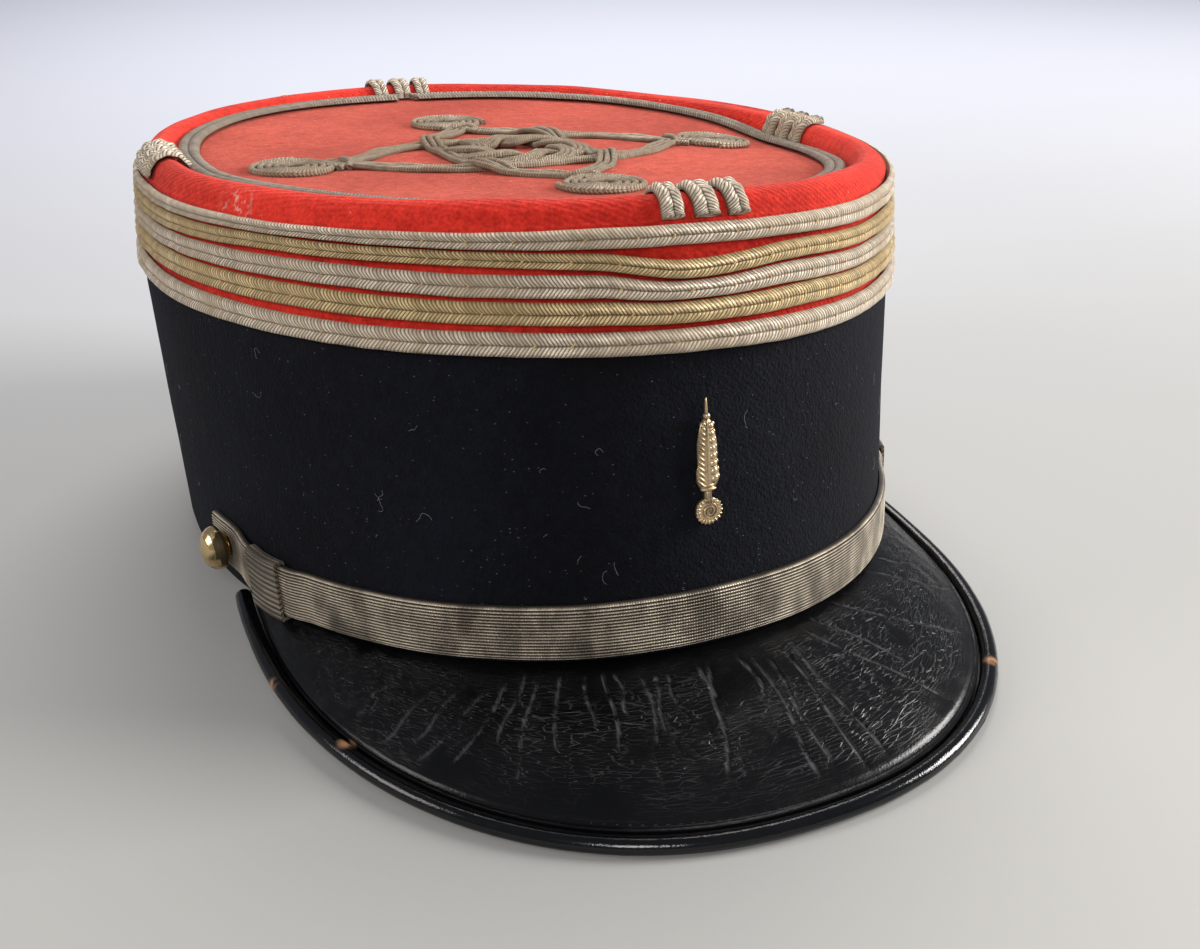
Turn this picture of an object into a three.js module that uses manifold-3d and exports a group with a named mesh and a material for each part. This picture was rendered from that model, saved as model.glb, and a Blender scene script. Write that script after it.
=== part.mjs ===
// Kepi cap: a hollow navy band, a red crown with a padded rim and a sunken top, five braid galons,
// a cord knot, braid loops over the rim, a cast badge, a false chin strap and a leather peak.
//
// Millimetres, +Z up. The front of the cap looks along -Y and X = 0 is its middle plane. The cap is
// stored as it rests by itself: the peak's rim and the rear lower edge of the band touch Z = 0.
//
// Most pieces are laid out in the cap's own frame: x to the side, y forward, z up from the plane of
// the band's lower edge. An angle on the wall is in degrees, 0 at the front, negative on the -X side.

import * as THREE from 'three';
import { mergeVertices } from 'three/addons/utils/BufferGeometryUtils.js';
import Module from 'manifold-3d';

const { degToRad } = THREE.MathUtils;

// Driving dimensions: the whole cap

const GAP = 0.3;
const TILT = degToRad(3.2);
const ORIGIN_FORWARD = 15.0;
const RING_STEPS = 42;
const OVAL_POWER = 2.14;

// Plan ovals of the wall, from the lower edge up. A positive egg narrows the front.

const WALL_SECTIONS = [
  { name: 'lower edge', height: 0.0, halfLength: 100.1, halfWidth: 83.5, egg: 0.083, shift: 0.0 },
  { name: 'top of the navy', height: 58.0, halfLength: 101.6, halfWidth: 85.9, egg: 0.09, shift: -5.6 },
  { name: 'foot of the roll', height: 84.6, halfLength: 99.8, halfWidth: 83.6, egg: 0.09, shift: -5.1 },
];
const BASE = WALL_SECTIONS[0];
const FRONT_ARCH = 4.5;
const WALL_THICKNESS = 2.4;

// Heights of the crown's foot and of the five galons round the wall. The galons sag at the dent
// just left of the front. The rear half doesn't show and runs level.

const GALON_TABLE = [
  { angle: -90, foot: 85.3, bottoms: [82.2, 78.3, 74.1, 69.4, 63.3], tops: [85.1, 81.9, 77.9, 73.8, 68.2] },
  { angle: -54, foot: 87.4, bottoms: [84.7, 81.6, 76.4, 71.2, 65.1], tops: [87.2, 84.4, 80.7, 75.7, 69.8] },
  { angle: -30, foot: 88.9, bottoms: [85.5, 82.4, 76.8, 71.8, 65.9], tops: [88.7, 85.2, 81.2, 76.2, 70.7] },
  { angle: -15, foot: 89.5, bottoms: [85.4, 81.6, 76.5, 71.5, 65.6], tops: [89.3, 84.8, 80.9, 76.0, 70.4] },
  { angle: -3, foot: 89.3, bottoms: [85.1, 79.0, 75.1, 70.6, 65.1], tops: [89.1, 82.6, 78.6, 74.8, 69.9] },
  { angle: 12, foot: 88.3, bottoms: [84.1, 79.5, 74.9, 70.0, 64.0], tops: [88.1, 83.2, 79.1, 74.6, 69.1] },
  { angle: 30, foot: 87.2, bottoms: [82.4, 77.9, 73.6, 68.9, 63.1], tops: [87.0, 81.7, 77.5, 73.3, 67.9] },
  { angle: 90, foot: 85.7, bottoms: [81.4, 77.1, 72.7, 68.0, 62.7], tops: [85.5, 81.1, 76.7, 72.3, 67.2] },
  { angle: 180, foot: 85.5, bottoms: [81.2, 77.0, 72.7, 68.3, 63.3], tops: [85.3, 80.9, 76.6, 72.3, 67.5] },
];
const GALON_METALS = ['silver', 'gold', 'silver', 'gold', 'silver'];
const GALON_RELIEF = 1.7;
const GALON_GROOVE = 0.5;

// Roll and the middle of the sunken top, as slopes over the wall's top plane.

const CREST = { inset: 4.8, insetShare: 0.53, height: 5.1, slopeForward: 0.023, slopeSide: -0.025, saddle: 1.94 };
const SUNKEN_MIDDLE = { height: 0.1, slopeForward: -0.003, slopeSide: -0.025 };
const SUNKEN_RINGS = { face: [1, 0.93, 0.84, 0.68, 0.36], underside: [0.6, 1], edgeReach: 0.89 };

// Edge of the sunken top: how far inside the wall it lies, and its height over the wall's top plane.

const SUNKEN_EDGE = [
  { angle: -90, inset: 7.6, height: 1.7 },
  { angle: -60, inset: 8.5, height: 4.2 },
  { angle: -30, inset: 9.6, height: 5.2 },
  { angle: 0, inset: 10.5, height: 4.6 },
  { angle: 45, inset: 8.4, height: 0.6 },
  { angle: 91, inset: 6.6, height: -4.6 },
  { angle: 112, inset: 7.1, height: -2.4 },
  { angle: 150, inset: 8.5, height: 0.1 },
  { angle: 180, inset: 9.2, height: 1.2 },
  { angle: 225, inset: 8.2, height: 2.2 },
];
const ROLL_PROFILE = [
  { across: 0.08, rise: 0.24 },
  { across: 0.15, rise: 0.6 },
  { across: 0.28, rise: 0.87 },
  { across: 0.5, rise: 1.0 },
  { across: 0.74, rise: 0.86 },
  { across: 0.92, rise: 0.5 },
  { across: 0.99, rise: 0.16 },
];

// Braid round the sunken top: its two ends meet at the back and leave a small notch.

const TOP_BRAID = { width: 5.2, relief: 1.5, groove: 0.5, notchDeg: 0.5, clearance: 0.6 };

// Knot on the sunken top: two long loops that cross, an end coil at each tip, a ring in the middle.

const KNOT = { centreForward: -4, height: 1.3, bandWidth: 5.2, coilRadius: 9.6, coilCore: 2.4 };
const KNOT_REACH = { side: { neck: 43, coil: 54.5, waist: 16 }, length: { neck: 35.5, coil: 45.5, waist: 16 } };
const KNOT_RING = { innerRadius: 6, outerRadius: 13.4, lobes: 8, waviness: 0.9 };

// Loops over the roll: three to a set, at the front, the back and both sides.

const LOOP = { width: 6.2, pitch: 7.4, relief: 1.5, groove: 0.9, edge: 0.7, lift: 0.5 };
const LOOP_SETS = [
  { name: 'front', angle: -0.4 },
  { name: 'back', angle: 180 },
  { name: 'left', angle: -97 },
  { name: 'right', angle: 91.5 },
];

// Badge at the front: a plume on a short stem over a roundel.

const BADGE = { angle: -0.8, roundelHeight: 33.2, roundelRadius: 2.75, stemTop: 37.6, thickness: 1.3 };
const BADGE_OUTLINE = [
  { side: -1.6, up: 37.2 },
  { side: -3.0, up: 39.0 },
  { side: -2.6, up: 44.0 },
  { side: -2.2, up: 48.4 },
  { side: -0.9, up: 51.6 },
  { side: -0.35, up: 52.6 },
  { side: -0.12, up: 55.9 },
  { side: 0.12, up: 55.9 },
  { side: 0.45, up: 52.6 },
  { side: 1.6, up: 50.6 },
  { side: 2.1, up: 46.0 },
  { side: 2.9, up: 43.0 },
  { side: 2.9, up: 40.2 },
  { side: 2.2, up: 38.2 },
  { side: 1.4, up: 37.2 },
];

// False chin strap, its keepers and its buttons. The strap rises to the buttons at its two ends.

const STRAP = { height: 11.4, thickness: 1.5, lift: 1.0, endAngle: 81 };
const STRAP_RISE = { startAngle: 66, endAngle: 77, amount: 3.2 };
const KEEPER = { startAngle: 63.9, endAngle: 70.0, wall: 0.6, standoff: 0.9 };
const BUTTON = { angle: 77, height: 10.4 };
const BUTTON_PROFILE = [
  { radius: 0.0, out: 0.0 },
  { radius: 3.0, out: 0.0 },
  { radius: 3.3, out: 0.5 },
  { radius: 2.4, out: 0.9 },
  { radius: 4.2, out: 1.3 },
  { radius: 5.0, out: 2.4 },
  { radius: 4.6, out: 3.9 },
  { radius: 3.2, out: 5.1 },
  { radius: 0.0, out: 5.6 },
];

// Peak: plan of its rim in the resting frame, the leather and the bead that binds the rim.

const RIM = { halfWidth: 82.5, length: 101.2, centreY: -40.9, power: 2.22, endDeg: 99.5 };
const BEAD = { width: 3.8, height: 3.5, endRise: 1.4, sides: 8, steps: 38 };
const PEAK = { thickness: 2.0, camber: 1.4, endAngle: 77, steps: 32, rows: 3, tuck: 1.6 };

const COLOURS = {
  navy: { color: 0x15172a, roughness: 0.95, metalness: 0 },
  red: { color: 0xb92f28, roughness: 0.9, metalness: 0 },
  silver: { color: 0x9a917c, roughness: 0.5, metalness: 0.6 },
  gold: { color: 0xa7905a, roughness: 0.5, metalness: 0.6 },
  oldBraid: { color: 0x74695a, roughness: 0.65, metalness: 0.4 },
  keeper: { color: 0x5d5346, roughness: 0.75, metalness: 0.2 },
  brass: { color: 0x9c8048, roughness: 0.35, metalness: 1 },
  castMetal: { color: 0x97886a, roughness: 0.45, metalness: 1 },
  leather: { color: 0x17181a, roughness: 0.4, metalness: 0 },
  bead: { color: 0x101216, roughness: 0.22, metalness: 0 },
};

// Plain geometry helpers

function power(value, exponent) {
  return Math.sign(value) * Math.abs(value) ** (2 / exponent);
}

function mix(a, b, share) {
  return a + (b - a) * share;
}

function spread(from, to, count) {
  return Array.from({ length: count + 1 }, (_, i) => mix(from, to, i / count));
}

function smoothStep(from, to, value) {
  const share = THREE.MathUtils.clamp((value - from) / (to - from), 0, 1);
  return share * share * (3 - 2 * share);
}

// Smooth value of a table column at an angle: a cubic through the rows, closed round the ring.
function roundTheRing(table, angle, column) {
  const count = table.length;
  const turned = THREE.MathUtils.euclideanModulo(angle - table[0].angle, 360) + table[0].angle;
  let row = count - 1;
  while (table[row].angle > turned) row -= 1;
  const at = (index) => {
    const wrapped = (index + count) % count;
    const turns = Math.floor(index / count);
    return { angle: table[wrapped].angle + 360 * turns, value: column(table[wrapped]) };
  };
  const [before, here, next, after] = [at(row - 1), at(row), at(row + 1), at(row + 2)];
  const slope = (p, q) => (q.value - p.value) / (q.angle - p.angle);
  const width = next.angle - here.angle;
  const leave = slope(before, next) * width;
  const arrive = slope(here, after) * width;
  const s = (turned - here.angle) / width;
  const [s2, s3] = [s * s, s * s * s];
  return (2 * s3 - 3 * s2 + 1) * here.value + (s3 - 2 * s2 + s) * leave
    + (3 * s2 - 2 * s3) * next.value + (s3 - s2) * arrive;
}

// From the cap's own frame to the resting frame.
function place(x, y, z) {
  const forward = y * Math.cos(TILT) - z * Math.sin(TILT);
  const up = y * Math.sin(TILT) + z * Math.cos(TILT) + BASE.halfLength * Math.sin(TILT);
  return new THREE.Vector3(x, ORIGIN_FORWARD - forward, up);
}

function closedGeometry(points, triangles) {
  const positions = new Float32Array(points.flatMap((p) => [p.x, p.y, p.z]));
  let volume = 0;
  for (const [a, b, c] of triangles) {
    volume += points[a].dot(points[b].clone().cross(points[c]));
  }
  const faces = volume < 0 ? triangles.map(([a, b, c]) => [a, c, b]) : triangles;
  const geometry = new THREE.BufferGeometry();
  geometry.setAttribute('position', new THREE.BufferAttribute(positions, 3));
  geometry.setIndex(faces.flat());
  geometry.computeVertexNormals();
  return geometry;
}

function bridge(triangles, ringA, ringB) {
  for (let i = 0; i < ringA.length; i += 1) {
    const j = (i + 1) % ringA.length;
    triangles.push([ringA[i], ringA[j], ringB[j]], [ringA[i], ringB[j], ringB[i]]);
  }
}

function indexRing(start, count) {
  return Array.from({ length: count }, (_, i) => start + i);
}

// Solid with a closed section swept round a closed ring of angles.
function ringSolid(section) {
  const sections = spread(0, 360, RING_STEPS).slice(0, -1).map(section);
  const size = sections[0].length;
  const triangles = [];
  sections.forEach((_, i) => {
    const next = (i + 1) % sections.length;
    bridge(triangles, indexRing(i * size, size), indexRing(next * size, size));
  });
  return closedGeometry(sections.flat(), triangles);
}

// Solid with a closed section swept along open stations, its two ends closed by the flat outline.
function stripSolid(stations, section, outline) {
  const sections = stations.map(section);
  const size = sections[0].length;
  const triangles = [];
  for (let i = 0; i + 1 < sections.length; i += 1) {
    bridge(triangles, indexRing(i * size, size), indexRing((i + 1) * size, size));
  }
  const caps = THREE.ShapeUtils.triangulateShape(outline.map((p) => new THREE.Vector2(p[0], p[1])), []);
  const last = (sections.length - 1) * size;
  const straight = signedArea(outline) > 0 ? 1 : -1;
  for (const [a, b, c] of caps) {
    const corners = signedArea([outline[a], outline[b], outline[c]]) * straight > 0 ? [a, b, c] : [a, c, b];
    triangles.push([corners[2], corners[1], corners[0]]);
    triangles.push(corners.map((corner) => last + corner));
  }
  return closedGeometry(sections.flat(), triangles);
}

function signedArea(outline) {
  return outline.reduce((sum, p, i) => {
    const q = outline[(i + 1) % outline.length];
    return sum + p[0] * q[1] - q[0] * p[1];
  }, 0);
}

// Slab between two grids of points, u by v, closed round all four edges.
function slabSolid(countU, countV, top, bottom) {
  const points = [];
  for (const face of [top, bottom]) {
    for (let i = 0; i <= countU; i += 1) {
      for (let j = 0; j <= countV; j += 1) points.push(face(i / countU, j / countV));
    }
  }
  const row = countV + 1;
  const layer = (countU + 1) * row;
  const triangles = [];
  const quad = (a, b, c, d) => triangles.push([a, b, c], [a, c, d]);
  for (let i = 0; i < countU; i += 1) {
    for (let j = 0; j < countV; j += 1) {
      const a = i * row + j;
      quad(a, a + row, a + row + 1, a + 1);
      quad(layer + a, layer + a + 1, layer + a + row + 1, layer + a + row);
    }
    const [near, far] = [i * row, i * row + countV];
    quad(near, layer + near, layer + near + row, near + row);
    quad(far, far + row, layer + far + row, layer + far);
  }
  for (let j = 0; j < countV; j += 1) {
    const [start, end] = [j, countU * row + j];
    quad(start, start + 1, layer + start + 1, layer + start);
    quad(end, layer + end, layer + end + 1, end + 1);
  }
  return closedGeometry(points, triangles);
}

// Joins of solids that overlap

const manifold = await Module();
manifold.setup();

function toSolid(geometry) {
  const bare = new THREE.BufferGeometry();
  bare.setAttribute('position', geometry.getAttribute('position'));
  if (geometry.index) bare.setIndex(geometry.index);
  const merged = mergeVertices(bare, 1e-4);
  return new manifold.Manifold(new manifold.Mesh({
    numProp: 3,
    vertProperties: new Float32Array(merged.getAttribute('position').array),
    triVerts: new Uint32Array(merged.index.array),
  }));
}

function fuse(geometries) {
  const joined = geometries.map(toSolid).reduce((whole, piece) => whole.add(piece));
  const mesh = joined.getMesh();
  const geometry = new THREE.BufferGeometry();
  geometry.setAttribute('position', new THREE.BufferAttribute(new Float32Array(mesh.vertProperties), 3));
  geometry.setIndex(Array.from(mesh.triVerts));
  geometry.computeVertexNormals();
  return geometry;
}

// Moves every point of a closed piece, and keeps its faces pointing out.
function bend(geometry, move) {
  const position = geometry.getAttribute('position');
  const points = Array.from({ length: position.count }, (_, i) => (
    move(new THREE.Vector3().fromBufferAttribute(position, i))
  ));
  const corners = Array.from(geometry.index.array);
  const triangles = [];
  for (let i = 0; i < corners.length; i += 3) triangles.push(corners.slice(i, i + 3));
  return closedGeometry(points, triangles);
}

// The wall's surface

function wallOval(angle, height) {
  const upper = Math.max(1, WALL_SECTIONS.findIndex((s) => s.height >= Math.min(height, 84.6)));
  const [low, high] = [WALL_SECTIONS[upper - 1], WALL_SECTIONS[upper]];
  const share = (height - low.height) / (high.height - low.height);
  const size = (key) => mix(low[key], high[key], share);
  const turn = degToRad(angle);
  return new THREE.Vector2(
    size('halfWidth') * power(Math.sin(turn), OVAL_POWER) * (1 - size('egg') * Math.cos(turn)),
    size('shift') + size('halfLength') * power(Math.cos(turn), OVAL_POWER),
  );
}

function outward(curve, angle) {
  const along = curve(angle + 0.4).sub(curve(angle - 0.4)).normalize();
  return new THREE.Vector2(along.y, -along.x).negate();
}

// Point of the wall's outer face at an angle and a height, moved out square to the plan.
function wallPoint(angle, height, out = 0) {
  const curve = (a) => wallOval(a, height);
  const point = curve(angle).addScaledVector(outward(curve, angle), out);
  return place(point.x, point.y, height);
}

function lowerEdge(angle) {
  return FRONT_ARCH * Math.max(0, Math.cos(degToRad(angle))) ** 2;
}

// The navy stops and the red starts behind the middle of the lowest galon.
function clothSeam(angle) {
  return roundTheRing(GALON_TABLE, angle, (row) => (row.bottoms[4] + row.tops[4]) / 2);
}

// Crown plan: the wall's top oval, moved in by an inset.
function crownOval(angle, inset) {
  const top = WALL_SECTIONS[2];
  const turn = degToRad(angle);
  return new THREE.Vector2(
    (top.halfWidth - inset) * power(Math.sin(turn), OVAL_POWER) * (1 - top.egg * Math.cos(turn)),
    top.shift + (top.halfLength - inset) * power(Math.cos(turn), OVAL_POWER),
  );
}

function crestHeight(x, y) {
  const { halfLength, halfWidth, height } = WALL_SECTIONS[2];
  const bowed = CREST.saddle * ((y / halfLength) ** 2 - (x / halfWidth) ** 2);
  return height + CREST.height + CREST.slopeForward * y + CREST.slopeSide * x + bowed;
}

function sunkenInset(angle) {
  return roundTheRing(SUNKEN_EDGE, angle, (row) => row.inset);
}

// The crest lies a little nearer the wall where the roll is narrow.
function crestInset(angle) {
  return Math.min(CREST.inset, sunkenInset(angle) * CREST.insetShare);
}

// The sunken top is flat in the middle and bends to the height of its edge.
function sunkenHeight(x, y) {
  const { halfLength, halfWidth, height, shift } = WALL_SECTIONS[2];
  const [side, forward] = [x / halfWidth, (y - shift) / halfLength];
  const reach = Math.min(1, Math.hypot(side, forward) / SUNKEN_RINGS.edgeReach);
  const angle = THREE.MathUtils.radToDeg(Math.atan2(side, forward));
  const { slopeForward, slopeSide } = SUNKEN_MIDDLE;
  const middle = SUNKEN_MIDDLE.height + slopeForward * y + slopeSide * x;
  const edge = roundTheRing(SUNKEN_EDGE, angle, (row) => row.height);
  return height + mix(middle, edge, reach ** 4);
}

// Point of the roll: across runs from 0 at the wall, over the crest at 0.5, to 1 at the sunken top.
function rollPoint(angle, across, rise) {
  const inset = across < 0.5
    ? crestInset(angle) * across * 2
    : mix(crestInset(angle), sunkenInset(angle), across * 2 - 1);
  const plan = crownOval(angle, inset);
  const crest = crestHeight(plan.x, plan.y);
  const outerFoot = roundTheRing(GALON_TABLE, angle, (row) => row.foot);
  const innerFoot = sunkenHeight(plan.x, plan.y);
  const foot = across < 0.5 ? outerFoot : innerFoot;
  return new THREE.Vector3(plan.x, plan.y, mix(foot, crest, rise));
}

// Section of a two-cord braid: flat at the back, two round cords with a groove between them.
function cordSection(relief, groove) {
  return [
    { across: 0, out: 0 },
    { across: 0.08, out: relief * 0.66 },
    { across: 0.28, out: relief },
    { across: 0.5, out: relief - groove },
    { across: 0.72, out: relief },
    { across: 0.92, out: relief * 0.66 },
    { across: 1, out: 0 },
  ];
}

// Pieces

function bandWall() {
  return ringSolid((angle) => {
    const bottom = lowerEdge(angle);
    const top = clothSeam(angle) - GAP / 2;
    const middle = mix(bottom, top, 0.5);
    return [
      wallPoint(angle, bottom, 0),
      wallPoint(angle, middle, 0),
      wallPoint(angle, top, 0),
      wallPoint(angle, top, -WALL_THICKNESS),
      wallPoint(angle, middle, -WALL_THICKNESS),
      wallPoint(angle, bottom, -WALL_THICKNESS),
    ];
  });
}

function crownShell() {
  const angles = spread(0, 360, RING_STEPS).slice(0, -1);
  const topRing = (angle, share, drop) => {
    const plan = crownOval(angle, sunkenInset(angle));
    const centre = new THREE.Vector2(0, WALL_SECTIONS[2].shift);
    const inner = centre.lerp(plan, share);
    return place(inner.x, inner.y, sunkenHeight(inner.x, inner.y) - drop);
  };
  const rings = [
    (angle) => wallPoint(angle, clothSeam(angle) + GAP / 2, 0),
    (angle) => wallPoint(angle, roundTheRing(GALON_TABLE, angle, (row) => row.foot), 0),
    ...ROLL_PROFILE.map(({ across, rise }) => (angle) => {
      const point = rollPoint(angle, across, rise);
      return place(point.x, point.y, point.z);
    }),
    ...SUNKEN_RINGS.face.map((share) => (angle) => topRing(angle, share, 0)),
    ...SUNKEN_RINGS.underside.map((share) => (angle) => topRing(angle, share, WALL_THICKNESS)),
    (angle) => {
      const ceiling = sunkenHeight(...crownOval(angle, WALL_THICKNESS).toArray());
      return wallPoint(angle, ceiling - WALL_THICKNESS, -WALL_THICKNESS);
    },
    (angle) => wallPoint(angle, clothSeam(angle) + GAP / 2, -WALL_THICKNESS),
  ];
  const count = angles.length;
  const points = rings.flatMap((ring) => angles.map(ring));
  const triangles = [];
  const lastOuter = ROLL_PROFILE.length + SUNKEN_RINGS.face.length + 1;
  rings.forEach((_, i) => {
    if (i === lastOuter) return;
    bridge(triangles, indexRing(i * count, count), indexRing(((i + 1) % rings.length) * count, count));
  });
  const pole = points.length;
  points.push(topRing(0, 0, 0), topRing(0, 0, WALL_THICKNESS));
  for (let i = 0; i < count; i += 1) {
    const j = (i + 1) % count;
    triangles.push([lastOuter * count + i, lastOuter * count + j, pole]);
    triangles.push([(lastOuter + 1) * count + j, (lastOuter + 1) * count + i, pole + 1]);
  }
  return closedGeometry(points, triangles);
}

function galon(row) {
  const profile = cordSection(GALON_RELIEF, GALON_GROOVE);
  return ringSolid((angle) => {
    const bottom = roundTheRing(GALON_TABLE, angle, (line) => line.bottoms[row]);
    const top = roundTheRing(GALON_TABLE, angle, (line) => line.tops[row]);
    return profile.map(({ across, out }) => wallPoint(angle, mix(bottom, top, across), GAP + out));
  });
}

function onTheTop(x, y, lift) {
  return place(x, y, sunkenHeight(x, y) + GAP + lift);
}

function topEdgeBraid() {
  const profile = cordSection(TOP_BRAID.relief, TOP_BRAID.groove);
  const stations = spread(-180 + TOP_BRAID.notchDeg, 180 - TOP_BRAID.notchDeg, RING_STEPS);
  const section = (angle) => profile.map(({ across, out }) => {
    const inset = sunkenInset(angle) + TOP_BRAID.clearance + across * TOP_BRAID.width;
    const plan = crownOval(angle, inset);
    return onTheTop(plan.x, plan.y, out);
  });
  return stripSolid(stations, section, profile.map(({ across, out }) => [across * TOP_BRAID.width, out]));
}

function knotBand(path, width, closed) {
  const stations = Math.round(path.getLength() / 7.5);
  const half = width / 2;
  const profile = [[-half, 0], [-half, 0.7], [-half * 0.4, 1], [half * 0.4, 1], [half, 0.7], [half, 0]];
  const section = (share) => {
    const wrapped = closed ? share % 1 : share;
    const point = path.getPoint(wrapped);
    const along = path.getTangent(wrapped);
    return profile.map(([side, up]) => new THREE.Vector3(
      point.x - along.y * side,
      point.y + along.x * side,
      up * KNOT.height,
    ));
  };
  return stripSolid(spread(0, 1, stations), section, profile);
}

// Half of one long loop, from neck to neck on one side of the middle.
function knotArm(reach) {
  const { neck, waist } = reach;
  const half = [[neck + 3.5, -3], [neck, 0.2], [neck - 5, 4.2], [neck * 0.7, 11.5], [neck * 0.45, 16.8]];
  const points = [...half, [0, waist], ...half.map(([x, y]) => [-x, y]).reverse()];
  return new THREE.SplineCurve(points.map(([x, y]) => new THREE.Vector2(x, y)));
}

function knotCoil(distance) {
  const { coilRadius, coilCore, height } = KNOT;
  const groove = mix(coilCore, coilRadius, 0.24);
  const profile = [
    [0, 0], [coilRadius, 0], [coilRadius, height * 0.7], [coilRadius * 0.88, height],
    [groove + 1.2, height], [groove, height * 0.45], [coilCore, height], [0, height],
  ];
  const coil = new THREE.LatheGeometry(profile.map(([r, h]) => new THREE.Vector2(r, h)), 14);
  return coil.rotateX(Math.PI / 2).translate(distance, 0, 0);
}

function knotRing() {
  const { innerRadius, outerRadius, lobes, waviness } = KNOT_RING;
  const ring = (radius, sign, steps) => Array.from({ length: steps }, (_, i) => {
    const turn = (i / steps) * Math.PI * 2;
    const r = radius + sign * waviness * Math.cos(lobes * turn);
    return new THREE.Vector2(r * Math.cos(turn), r * Math.sin(turn));
  });
  const shape = new THREE.Shape(ring(outerRadius, 1, 32));
  shape.holes.push(new THREE.Path(ring(innerRadius, 0, 16)));
  return new THREE.ExtrudeGeometry(shape, { depth: KNOT.height * 0.8, bevelEnabled: false });
}

function crownKnot() {
  const upright = (geometry, quarterTurns) => geometry.rotateZ((quarterTurns * Math.PI) / 2);
  const flatParts = [];
  [KNOT_REACH.side, KNOT_REACH.length].forEach((reach, quarter) => {
    for (const half of [0, 2]) {
      flatParts.push(upright(knotBand(knotArm(reach), KNOT.bandWidth, false), quarter + half));
      flatParts.push(upright(knotCoil(reach.coil), quarter + half));
    }
  });
  flatParts.push(knotRing());
  return bend(fuse(flatParts), (p) => onTheTop(p.x, p.y + KNOT.centreForward, p.z));
}

// Braid loop over the roll, centred at an angle and lifted a little off the cloth.
function rollLoop(angle) {
  const columns = [LOOP.edge, LOOP.relief, LOOP.relief - LOOP.groove + 0.4, LOOP.relief, LOOP.edge];
  const tall = rollPoint(angle, 0.5, 1).z - rollPoint(angle, 0, 0).z > 3;
  const path = tall ? [{ across: 0.08, rise: 0.05 }, ...ROLL_PROFILE.slice(0, -1)] : ROLL_PROFILE.slice(2, -1);
  const size = crownOval(angle, CREST.inset).distanceTo(crownOval(angle + 1, CREST.inset));
  const halfSpan = LOOP.width / 2 / size;
  const surface = (u, v, lift) => {
    const at = mix(angle - halfSpan, angle + halfSpan, u);
    const step = v * (path.length - 1);
    const here = path[Math.round(step)];
    const before = path[Math.max(0, Math.round(step) - 1)];
    const after = path[Math.min(path.length - 1, Math.round(step) + 1)];
    const point = rollPoint(at, here.across, here.rise);
    const along = rollPoint(at, after.across, after.rise).sub(rollPoint(at, before.across, before.rise));
    const side = rollPoint(at + 1, here.across, here.rise).sub(rollPoint(at - 1, here.across, here.rise));
    const normal = side.cross(along).normalize();
    if (normal.z < 0) normal.negate();
    if (tall && Math.round(step) <= 1) normal.set(normal.x, normal.y, 0).normalize();
    point.addScaledVector(normal, lift);
    return place(point.x, point.y, point.z);
  };
  const top = (u, v) => surface(u, v, LOOP.lift + columns[Math.round(u * (columns.length - 1))]);
  const bottom = (u, v) => surface(u, v, LOOP.lift);
  return slabSolid(columns.length - 1, path.length - 1, top, bottom);
}

function loopAngles(centre) {
  const size = crownOval(centre, CREST.inset).distanceTo(crownOval(centre + 1, CREST.inset));
  return [-1, 0, 1].map((step) => centre + (step * LOOP.pitch) / size);
}

function badge() {
  const outline = new THREE.Shape(BADGE_OUTLINE.map(({ side, up }) => new THREE.Vector2(side, up)));
  const bevel = { bevelThickness: 0.35, bevelSize: 0.3, bevelSegments: 1 };
  const plume = new THREE.ExtrudeGeometry(outline, { depth: BADGE.thickness - 0.7, ...bevel });
  plume.translate(0, 0, 0.35);
  const { roundelHeight, roundelRadius, stemTop, thickness } = BADGE;
  const stem = new THREE.BoxGeometry(1.9, stemTop - roundelHeight, thickness * 0.8);
  stem.translate(0, (stemTop + roundelHeight) / 2, thickness * 0.4);
  const roundel = new THREE.LatheGeometry([
    [0, 0], [roundelRadius, 0], [roundelRadius, thickness * 0.8], [roundelRadius * 0.75, thickness * 1.1],
    [roundelRadius * 0.45, thickness * 0.8], [roundelRadius * 0.3, thickness * 1.15], [0, thickness * 1.3],
  ].map(([r, h]) => new THREE.Vector2(r, h)), 24);
  roundel.rotateX(Math.PI / 2).translate(0, roundelHeight, 0);
  const bead = new THREE.SphereGeometry(0.75, 10, 6).translate(0, 52.4, thickness * 0.6);
  const rib = new THREE.CylinderGeometry(0.35, 0.5, 12, 6).translate(0, 44, thickness);
  const degPerMm = 1 / wallOval(BADGE.angle, 45).distanceTo(wallOval(BADGE.angle + 1, 45));
  return bend(fuse([plume, stem, roundel, bead, rib]), (p) => (
    wallPoint(BADGE.angle + p.x * degPerMm, p.y, GAP + Math.max(0, p.z))
  ));
}

function strapBottom(angle) {
  const rise = STRAP_RISE.amount * smoothStep(STRAP_RISE.startAngle, STRAP_RISE.endAngle, Math.abs(angle));
  return lowerEdge(angle) + STRAP.lift + rise;
}

// The strap lies on the wall and stands off it where a keeper passes behind it.
function strapStandoff(angle) {
  const turn = Math.abs(angle);
  const lift = smoothStep(KEEPER.startAngle - 5, KEEPER.startAngle - 1, turn)
    * (1 - smoothStep(KEEPER.endAngle + 1, KEEPER.endAngle + 5, turn));
  return GAP + KEEPER.standoff * lift;
}

function keeperStations() {
  return spread(KEEPER.startAngle, KEEPER.endAngle, 3);
}

function chinStrap() {
  const half = [
    ...spread(0, KEEPER.startAngle, 11).slice(0, -1),
    ...keeperStations(),
    ...spread(KEEPER.endAngle, STRAP.endAngle, 4).slice(1),
  ];
  const stations = [...half.slice(1).map((angle) => -angle).reverse(), ...half];
  const { height, thickness } = STRAP;
  const outline = [
    [0, 0], [0.05, thickness * 0.8], [0.12, thickness], [0.88, thickness],
    [0.95, thickness * 0.8], [1, 0],
  ];
  const section = (angle) => outline.map(([across, out]) => (
    wallPoint(angle, strapBottom(angle) + across * height, strapStandoff(angle) + out)
  ));
  return stripSolid(stations, section, outline.map(([across, out]) => [across * height, out]));
}

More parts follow.
